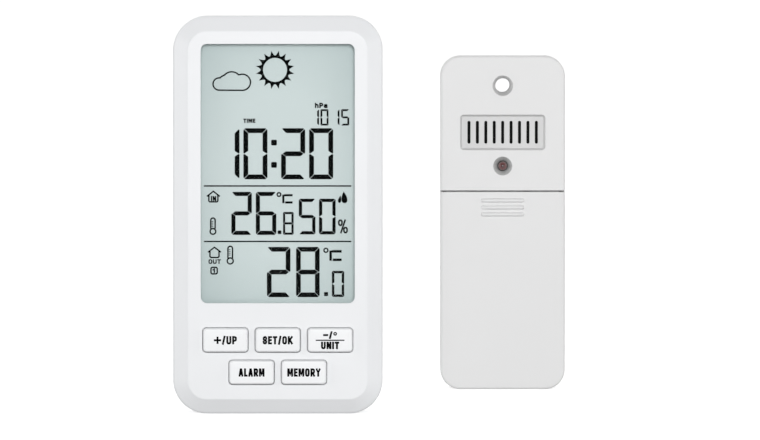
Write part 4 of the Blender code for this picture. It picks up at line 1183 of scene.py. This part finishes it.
def makeConsoleDoor():
    middle = ((doorLow.x + doorHigh.x) / 2, (doorLow.z + doorHigh.z) / 2)
    size = (doorHigh.x - doorLow.x, doorHigh.z - doorLow.z)
    bm = bmesh.new()
    front = [(doorHigh.y, 3, 0), (doorHigh.y, 0, consoleDoor["edge"])]
    profile = eased(front + [(doorLow.y, 0, 0.15), (doorLow.y, 3, 0)], 4)
    loft(bm, middle, size, consoleDoor["corner"], profile, 8)
    piece = asObject(bm, "consoleDoor", "whiteCase")
    bm = bmesh.new()
    loft(bm, (0, 0), consoleDoor["grooveSize"], 0.34, [(-consoleDoor["grooveDepth"], 0), (1, 0)], 6)
    groove = asObject(bm, "groove")
    count, pitch = consoleDoor["grooveCount"], consoleDoor["groovePitch"]
    start = (middle[0], doorHigh.y, doorLow.z + consoleDoor["grooveUp"])
    combine(piece, rowCutter("doorGrooves", groove, count, start, (0, 0, pitch)))
    bm = bmesh.new()
    tip = doorLow.z + consoleDoor["grooveUp"] + count * pitch + consoleDoor["arrowUp"]
    half, base = consoleDoor["arrowHalf"], tip + consoleDoor["arrowHeight"]
    slab(bm, [(-half, base), (half, base), (0, tip)], doorHigh.y - consoleDoor["arrowDepth"], doorHigh.y + 1)
    combine(piece, bm)
    soften(piece, 0.12, 2)
    place(piece, "console_door", "white_case", "console_battery_door")


stand = {
    "thickness": 2.0, "halfWidth": 15.5, "pinRadius": 0.8, "pinRound": 0.15,
    "dishWidth": 22, "dishShort": 12, "dishCorner": 2.5, "dishDepth": 0.6,
    "ribCount": 5, "ribSize": (16.0, 0.8), "ribPitch": 1.9, "ribStart": 18,
}


def makeStand():
    half = stand["thickness"] / 2
    y = standLow.y + half
    top = standHigh.z - half
    bm = bmesh.new()
    outlineYZ = arc(y, top, half, 0, 180, 16)
    outlineYZ += [(y - half, standLow.z + 0.1), (y - half + 0.1, standLow.z)]
    outlineYZ += [(y + half - 0.5, standLow.z), (y + half, standLow.z + 0.5)]
    sides = (-stand["halfWidth"], stand["halfWidth"])
    skin(bm, [[bm.verts.new((x, py, pz)) for py, pz in outlineYZ] for x in sides])
    piece = asObject(bm, "foldOutStand", "whiteCase")
    bm = bmesh.new()
    reach, pin, small = standHigh.x, stand["pinRadius"], stand["pinRound"]
    ends = [(0, pin - small), (small, pin), (2 * reach - small, pin), (2 * reach, pin - small)]
    lathe(bm, (-reach, y, top), alongX, ends, 24)
    combine(piece, bm, "UNION")
    bm = bmesh.new()
    middle = (0, (standLow.z + top) / 2 - 1)
    dish = (stand["dishWidth"], top - standLow.z - stand["dishShort"])
    slope = [(y + half - stand["dishDepth"], 0.4), (y + half + 1, -0.6)]
    loft(bm, middle, dish, stand["dishCorner"], slope, 8)
    combine(piece, bm)
    bm = bmesh.new()
    loft(bm, (0, 0), stand["ribSize"], 0.39, [(-0.7, 0), (0.35, 0)], 6)
    rib = asObject(bm, "rib")
    first = (0, y + half - 0.45, middle[1] - stand["ribStart"])
    combine(piece, rowCutter("standRibs", rib, stand["ribCount"], first, (0, 0, stand["ribPitch"])), "UNION")
    soften(piece, 0.15, 2)
    place(piece, "stand", "white_case", "console_stand")


makeBackCase()
makeConsoleDoor()
makeStand()
print("console back made")


cell = {
    "band": 9.0, "endRound": 0.7, "nubRadius": 1.9, "nub": 1.0, "shoulder": 1.4,
    "plate": 3.6, "plateStep": 0.15, "plateEdge": 0.1,
}


def makeCell(node, body, axis, forward):
    low, high = boxOf(node)
    middle = (low + high) / 2
    length = (high - low).dot(axis)
    radius = (high.y - low.y) / 2
    direction = axis * forward
    start = middle - direction * length / 2
    shoulder = length - cell["nub"]
    endRound, bandStart = cell["endRound"], shoulder - cell["band"]
    plate, step, rim = cell["plate"], cell["plateStep"], cell["plate"] + cell["plateEdge"]
    nubRadius, nubFoot = cell["nubRadius"], cell["nubRadius"] + cell["shoulder"]
    bm = bmesh.new()
    lathe(bm, start, direction, eased([(0, 0.01, 0), (0, plate, 0.2), (step, rim, 0)]), 48, slot=1)
    jacket = eased([(step, rim, 0), (step, radius, endRound), (bandStart, radius, 0)])
    lathe(bm, start, direction, jacket, 48, slot=0)
    band = eased([(bandStart, radius, 0), (shoulder, radius, endRound), (shoulder, nubFoot, 0)])
    lathe(bm, start, direction, band, 48, slot=2)
    nub = eased([(shoulder - step, nubFoot, 0), (shoulder - step, nubRadius, 0.1),
                 (length, nubRadius, 0.35), (length, 0.01, 0)])
    lathe(bm, start, direction, nub, 48, slot=1)
    piece = asObject(bm, node.replace("battery", "cell"), "jacket", "nickel", "cellBand")
    place(piece, body, "battery_jacket", node)


spring = {"wire": 0.3, "tip": 0.62, "turns": 4.0, "steps": 28}
aerial = {"wire": 0.38, "turns": 7.0, "steps": 28}


def makeSpring(node, body, axis, forward):
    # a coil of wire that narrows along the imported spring's length
    low, high = boxOf(node)
    length = (high - low).dot(axis)
    wire = spring["wire"]
    radius = (high.y - low.y) / 2 - wire
    direction = axis * forward
    start = ((low + high) / 2 - direction * (length / 2 - wire)) * mm
    values = {"Base": radius * mm, "Tip": radius * spring["tip"] * mm, "Wire": wire * mm,
              "Length": (length - 2 * wire) * mm, "Turns": spring["turns"], "Resolution": spring["steps"],
              "Place": start, "Turn": Vector(direction.to_track_quat("Z", "Y").to_euler()),
              "Finish": finishes["nickel"]}
    place(grow(node.replace("_spring_", "Spring"), "spring", values), body, "bright_metal", node)


def makeAerial(node, name, body):
    low, high = boxOf(node)
    wire = aerial["wire"]
    radius = ((high.x - low.x) / 2 - wire) * mm
    start = Vector(((low.x + high.x) / 2, (low.y + high.y) / 2, low.z + wire)) * mm
    values = {"Base": radius, "Tip": radius, "Wire": wire * mm, "Length": (high.z - low.z - 2 * wire) * mm,
              "Turns": aerial["turns"], "Resolution": aerial["steps"], "Place": start,
              "Turn": Vector((0, 0, 0)), "Finish": finishes["copper"]}
    place(grow(name, "spring", values), body, "copper_wire", node)


screw = {
    "head": 1.6, "dome": 0.7, "shaft": 1.1, "point": 1.2, "pointRadius": 0.25,
    "cross": (1.15, 0.24), "crossDepth": 0.9,
}


def makeScrews(name, body, nodes):
    # pan heads with a cross recess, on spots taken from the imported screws
    low, high = boxOf(nodes[0])
    radius, length = (high.x - low.x) / 2, high.y - low.y
    head, shaft = screw["head"], screw["shaft"]
    bm = bmesh.new()
    profile = eased([(0, 0.01, 0), (0, radius - 0.5, 0.4), (screw["dome"], radius, 0.5), (head, radius, 0.1),
                     (head, shaft, 0.1), (length - screw["point"], shaft, 0.2),
                     (length, screw["pointRadius"], 0)], 4)
    lathe(bm, (0, 0, 0), -alongY, profile, 32)
    template = asObject(bm, "screw", "nickel")
    for half, other in (screw["cross"], screw["cross"][::-1]):
        bm = bmesh.new()
        block(bm, (-half, -screw["crossDepth"], -other), (half, 1, other))
        combine(template, bm)
    spots = []
    for node in nodes:
        nodeLow, nodeHigh = boxOf(node)
        spots.append(((nodeLow.x + nodeHigh.x) / 2, nodeHigh.y, (nodeLow.z + nodeHigh.z) / 2))
    piece = grow(name, "spots", {"Template": template, "Finish": finishes["nickel"]}, spots)
    bpy.data.objects.remove(template, do_unlink=True)
    place(piece, body, "bright_metal", *nodes)


for unit, axis in (("console", alongX), ("sensor", alongZ)):
    for number, forward in ((1, 1), (2, -1)):
        makeCell(f"{unit}_battery_{number}", unit, axis, forward)
        makeSpring(f"{unit}_spring_{number}", unit, axis, forward)
    makeScrews(unit + "Screws", unit, [f"{unit}_screw_{i}" for i in (1, 2, 3, 4)])
makeAerial("receiver_aerial", "receiverAerial", "console")
makeAerial("sensor_aerial", "sensorAerial", "sensor")
print("cells, springs and screws made")


sensor = {
    "corner": 6.5, "wall": 1.8, "edge": 0.9,
    "hangUp": 98.4, "hangRadius": 2.35, "hangWall": 1.25,
}
frontLow, frontHigh = boxOf("sensor_front_case")
trayLow, trayHigh = boxOf("sensor_back_case")
sensorX = (trayLow.x + trayHigh.x) / 2
sensorSize = (trayHigh.x - trayLow.x, trayHigh.z - trayLow.z)
sensorMiddle = (sensorX, (trayHigh.z + trayLow.z) / 2)
faceY = frontLow.y
coverLow, coverHigh = boxOf("sensor_battery_door")


def sensorShell(name, keepLow, keepHigh):
    # the stretch of the hollow front half between two heights
    wall = sensor["wall"]
    profile = eased([
        (faceY, 5, 0),
        (faceY, 0, sensor["edge"]),
        (frontHigh.y, 0, 0.2),
        (frontHigh.y, wall, 0.15),
        (faceY + wall, wall, 1.0),
        (faceY + wall, 5, 0),
    ], 7)
    bm = bmesh.new()
    loft(bm, sensorMiddle, sensorSize, sensor["corner"], profile, 20)
    piece = asObject(bm, name, "sensorShell")
    for low, high in ((-5, keepLow), (keepHigh, trayHigh.z + 5)):
        if high - low > 5.01:
            bm = bmesh.new()
            block(bm, (sensorX - 40, faceY - 5, low), (sensorX + 40, frontHigh.y + 5, high))
            combine(piece, bm)
    return piece


sensorFront = {
    "louvreSize": (27.6, 11.5), "louvreUp": 83.3, "louvreDepth": 1.7,
    "louvreDraft": 0.65, "louvreCorner": 0.5, "louvreBacking": 2.6,
    "slotCount": 9, "slotPitch": 2.73, "slotSize": (0.97, 7.4),
    "hangLip": 0.95, "hangLipDepth": 3.0,
    "lightUp": 72.4, "coneRadius": 3.05, "coneDepth": 2.4, "lightHole": 1.7, "lightBoss": (4.0, 3.0),
    "tongue": (36.5, 4.0), "tongueFront": 2.5, "tongueBack": 3.3,
}


def makeSensorFront():
    wall = sensor["wall"]
    piece = sensorShell("sensorFront", frontLow.z, trayHigh.z)
    middle = (sensorX, sensorFront["louvreUp"])
    backing = (sensorFront["louvreSize"][0] + 2, sensorFront["louvreSize"][1] + 2)
    bm = bmesh.new()
    loft(bm, middle, backing, 1.5, [(faceY + wall - 0.3, 0), (faceY + sensorFront["louvreBacking"], 0)], 6)
    combine(piece, bm, "UNION")
    bossRadius, bossDepth = sensorFront["lightBoss"]
    boss = [(0, bossRadius), (bossDepth - wall + 0.3, bossRadius)]
    bm = bmesh.new()
    lathe(bm, (sensorX, faceY + wall - 0.3, sensorFront["lightUp"]), alongY, boss, 40)
    combine(piece, bm, "UNION")
    # the recess's faces take the darker finish: painted shade inside the recess
    bm = bmesh.new()
    depth, draft = sensorFront["louvreDepth"], sensorFront["louvreDraft"]
    tapered = [(faceY - depth, -draft), (faceY + depth, draft)]
    loft(bm, middle, sensorFront["louvreSize"], sensorFront["louvreCorner"] + draft, tapered, 10)
    combine(piece, bm, finish="recessPaintedShade")
    bm = bmesh.new()
    slotEnd = sensorFront["slotSize"][0] / 2 - 0.01
    loft(bm, (0, 0), sensorFront["slotSize"], slotEnd, [(0, 0), (sensorFront["louvreBacking"], 0)], 8)
    slot = asObject(bm, "slot")
    count, pitch = sensorFront["slotCount"], sensorFront["slotPitch"]
    first = (sensorX - (count - 1) / 2 * pitch, faceY + depth - 0.5, sensorFront["louvreUp"])
    combine(piece, rowCutter("louvreSlots", slot, count, first, (pitch, 0, 0)))

    tube = sensor["hangRadius"] + sensor["hangWall"]
    sleeve = [(0, tube), (frontHigh.y - faceY - wall + 0.48, tube)]
    bm = bmesh.new()
    lathe(bm, (sensorX, faceY + wall - 0.5, sensor["hangUp"]), alongY, sleeve, 40)
    combine(piece, bm, "UNION")
    bm = bmesh.new()
    radius, lip = sensor["hangRadius"], sensorFront["hangLip"]
    lipDepth = sensorFront["hangLipDepth"]
    end = frontHigh.y - faceY + 1
    bore = eased([(-lipDepth, radius + 2 * lip, 0), (lipDepth, radius, 0.5), (end, radius, 0)], 6)
    lathe(bm, (sensorX, faceY, sensor["hangUp"]), alongY, bore, 48)
    combine(piece, bm)
    # the cone's faces take the darker finish: painted shade inside the cone
    bm = bmesh.new()
    hole, coneDepth = sensorFront["lightHole"], sensorFront["coneDepth"]
    cone = [(-coneDepth, 2 * sensorFront["coneRadius"] - hole), (coneDepth, hole), (bossDepth + 1, hole)]
    lathe(bm, (sensorX, faceY, sensorFront["lightUp"]), alongY, cone, 48)
    combine(piece, bm, finish="lightSeatPaintedShade")
    # a tongue behind the seam, so that it shows plastic and not the board
    across, tall = sensorFront["tongue"]
    seam, front, back = frontLow.z, faceY + sensorFront["tongueFront"], faceY + sensorFront["tongueBack"]
    root = (seam + 0.4, seam + tall / 2, faceY + wall - 0.2)
    for low, high, start in (root, (seam - tall / 2, seam + 0.6, front)):
        bm = bmesh.new()
        block(bm, (sensorX - across / 2, start, low), (sensorX + across / 2, back, high))
        combine(piece, bm, "UNION")
    soften(piece, 0.2)
    place(piece, "sensor", "white_case", "sensor_front_case")


def makeGauze():
    # black dust gauze on the inside of the louvre
    bm = bmesh.new()
    start = faceY + sensorFront["louvreBacking"] + 0.02
    size = (sensorFront["louvreSize"][0] - 1.5, sensorFront["louvreSize"][1] - 1.5)
    end = start + 0.35
    profile = eased([(start, 1, 0), (start, 0, 0.1), (end, 0, 0.1), (end, 1, 0)], 2)
    loft(bm, (sensorX, sensorFront["louvreUp"]), size, 0.8, profile, 6)
    place(asObject(bm, "louvreGauze", "gauze"), "sensor", "black_rubber")


sensorDoor = {"ribCount": 3, "ribSize": (14.0, 1.3), "ribPitch": 2.25, "ribTop": 61.25, "ribProud": 0.75}


def makeSensorDoor():
    piece = sensorShell("sensorDoor", coverLow.z - 1, coverHigh.z)
    bm = bmesh.new()
    half = sensorDoor["ribSize"][1] / 2
    bends = [math.radians(angle) for angle in range(12, 91, 13)]
    profile = [(-sensorDoor["ribProud"] * math.cos(bend), half * (1 - math.sin(bend))) for bend in bends]
    profile.append((0.6, 0))
    loft(bm, (0, 0), sensorDoor["ribSize"], half - 0.01, profile, 8)
    rib = asObject(bm, "rib")
    step = (0, 0, -sensorDoor["ribPitch"])
    ribs = rowCutter("gripRibs", rib, sensorDoor["ribCount"], (sensorX, faceY, sensorDoor["ribTop"]), step)
    combine(piece, ribs, "UNION")
    soften(piece, 0.15)
    place(piece, "sensor_door", "white_case", "sensor_battery_door")


sensorBack = {"bayWall": 1.2, "screwPost": 3.4}


def makeSensorBack():
    wall = sensor["wall"]
    start, back = trayLow.y, trayHigh.y
    profile = eased([
        (back, 5, 0),
        (back, 0, sensor["edge"]),
        (start, 0, 0.2),
        (start, wall, 0.15),
        (back - wall, wall, 1.0),
        (back - wall, 5, 0),
    ], 7)
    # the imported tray's lowest Y is its bay's mouth, so the shell starts behind the front case
    start = frontHigh.y + 0.3
    profile = [(max(y, start), inset) for y, inset in profile]
    bm = bmesh.new()
    loft(bm, sensorMiddle, sensorSize, sensor["corner"], profile, 20)
    piece = asObject(bm, "sensorBack", "sensorShell")
    cellLow, cellHigh = boxOf("sensor_battery_1")
    otherLow, otherHigh = boxOf("sensor_battery_2")
    plateTop = boxOf("sensor_contact_1")[1].z + 0.3
    springLow = boxOf("sensor_spring_1")[0].z - 0.3
    bay = (sensorX, (plateTop + springLow) / 2)
    baySize = (max(cellHigh.x, otherHigh.x) - min(cellLow.x, otherLow.x) + 0.6, plateTop - springLow)
    mouth = trayLow.y
    rim = 2 * sensorBack["bayWall"]
    deep = back - wall
    bm = bmesh.new()
    loft(bm, bay, (baySize[0] + rim, baySize[1] + rim), 1, [(mouth, 0), (deep + 0.5, 0)], 5)
    combine(piece, bm, "UNION")
    bm = bmesh.new()
    loft(bm, bay, baySize, 0.5, [(mouth - 1, 0), (deep, 0)], 5)
    combine(piece, bm)
    screws = [f"sensor_screw_{i}" for i in (1, 2, 3, 4)]
    post = sensorBack["screwPost"]
    for node in screws:
        low, high = boxOf(node)
        bm = bmesh.new()
        spot = ((low.x + high.x) / 2, start + 0.02, (low.z + high.z) / 2)
        lathe(bm, spot, alongY, [(0, post), (deep + 0.5 - start, post)], 32)
        combine(piece, bm, "UNION")
    bm = bmesh.new()
    tube = sensor["hangRadius"] + sensor["hangWall"]
    lathe(bm, (sensorX, start + 0.02, sensor["hangUp"]), alongY, [(0, tube), (deep + 0.5 - start, tube)], 40)
    combine(piece, bm, "UNION")
    bm = bmesh.new()
    radius = sensor["hangRadius"]
    lathe(bm, (sensorX, start - 3, sensor["hangUp"]), alongY, [(0, radius), (back - start + 5, radius)], 48)
    combine(piece, bm)
    cutWells(piece, screws, back, start)
    soften(piece, 0.2, 2)
    place(piece, "sensor", "white_case", "sensor_back_case")


indicator = {"radius": 1.5, "flangeStep": 0.3, "flangeLength": 1.2}


def makeSignalLight():
    low, high = boxOf("sensor_light")
    radius = indicator["radius"]
    wide = radius + indicator["flangeStep"]
    x, z = (low.x + high.x) / 2, (low.z + high.z) / 2
    length = high.y - low.y
    bends = [math.radians(angle) for angle in range(4, 91, 6)]
    dome = [(radius * (1 - math.cos(bend)), radius * math.sin(bend)) for bend in bends]
    neck = length - indicator["flangeLength"]
    flange = eased([(neck, radius, 0), (length - 1.0, wide, 0.1), (length, wide, 0.1), (length, 0.01, 0)], 3)
    bm = bmesh.new()
    lathe(bm, (x, low.y, z), alongY, dome + flange, 40)
    place(asObject(bm, "signalLight", "signal"), "sensor", "signal_light", "sensor_light")


makeSensorFront()
makeGauze()
makeSensorDoor()
makeSensorBack()
makeSignalLight()
print("sensor made")


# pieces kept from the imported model, under the finish that each one gets
keptFinishes = {
    "board": ("main_board", "sensor_board", "receiver_module", "transmitter_module"),
    "chip": ("chip_blob", "sensor_chip_blob", "alarm_sounder", "channel_switch"),
    "nickel": ("clock_crystal", "pressure_sensor"),
    "brass": ("console_contact_1", "console_contact_2", "sensor_contact_1", "sensor_contact_2"),
    "copper": ("clock_aerial_winding",),
    "ferrite": ("clock_aerial_rod",),
    "innerPlastic": ("lcd_holder", "lcd_reflector", "indoor_probe", "air_probe"),
    "blackRubber": ("zebra_strip",),
    "greyRubber": ("keypad_mat",),
    "whiteKey": ("channel_knob",),
}
for finish, names in keptFinishes.items():
    for name in names:
        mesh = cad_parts[name].data
        mesh.materials.clear()
        mesh.materials.append(finishes[finish])
print("kept pieces finished:", sum(len(names) for names in keptFinishes.values()))

print("pieces placed:", len(madePieces))
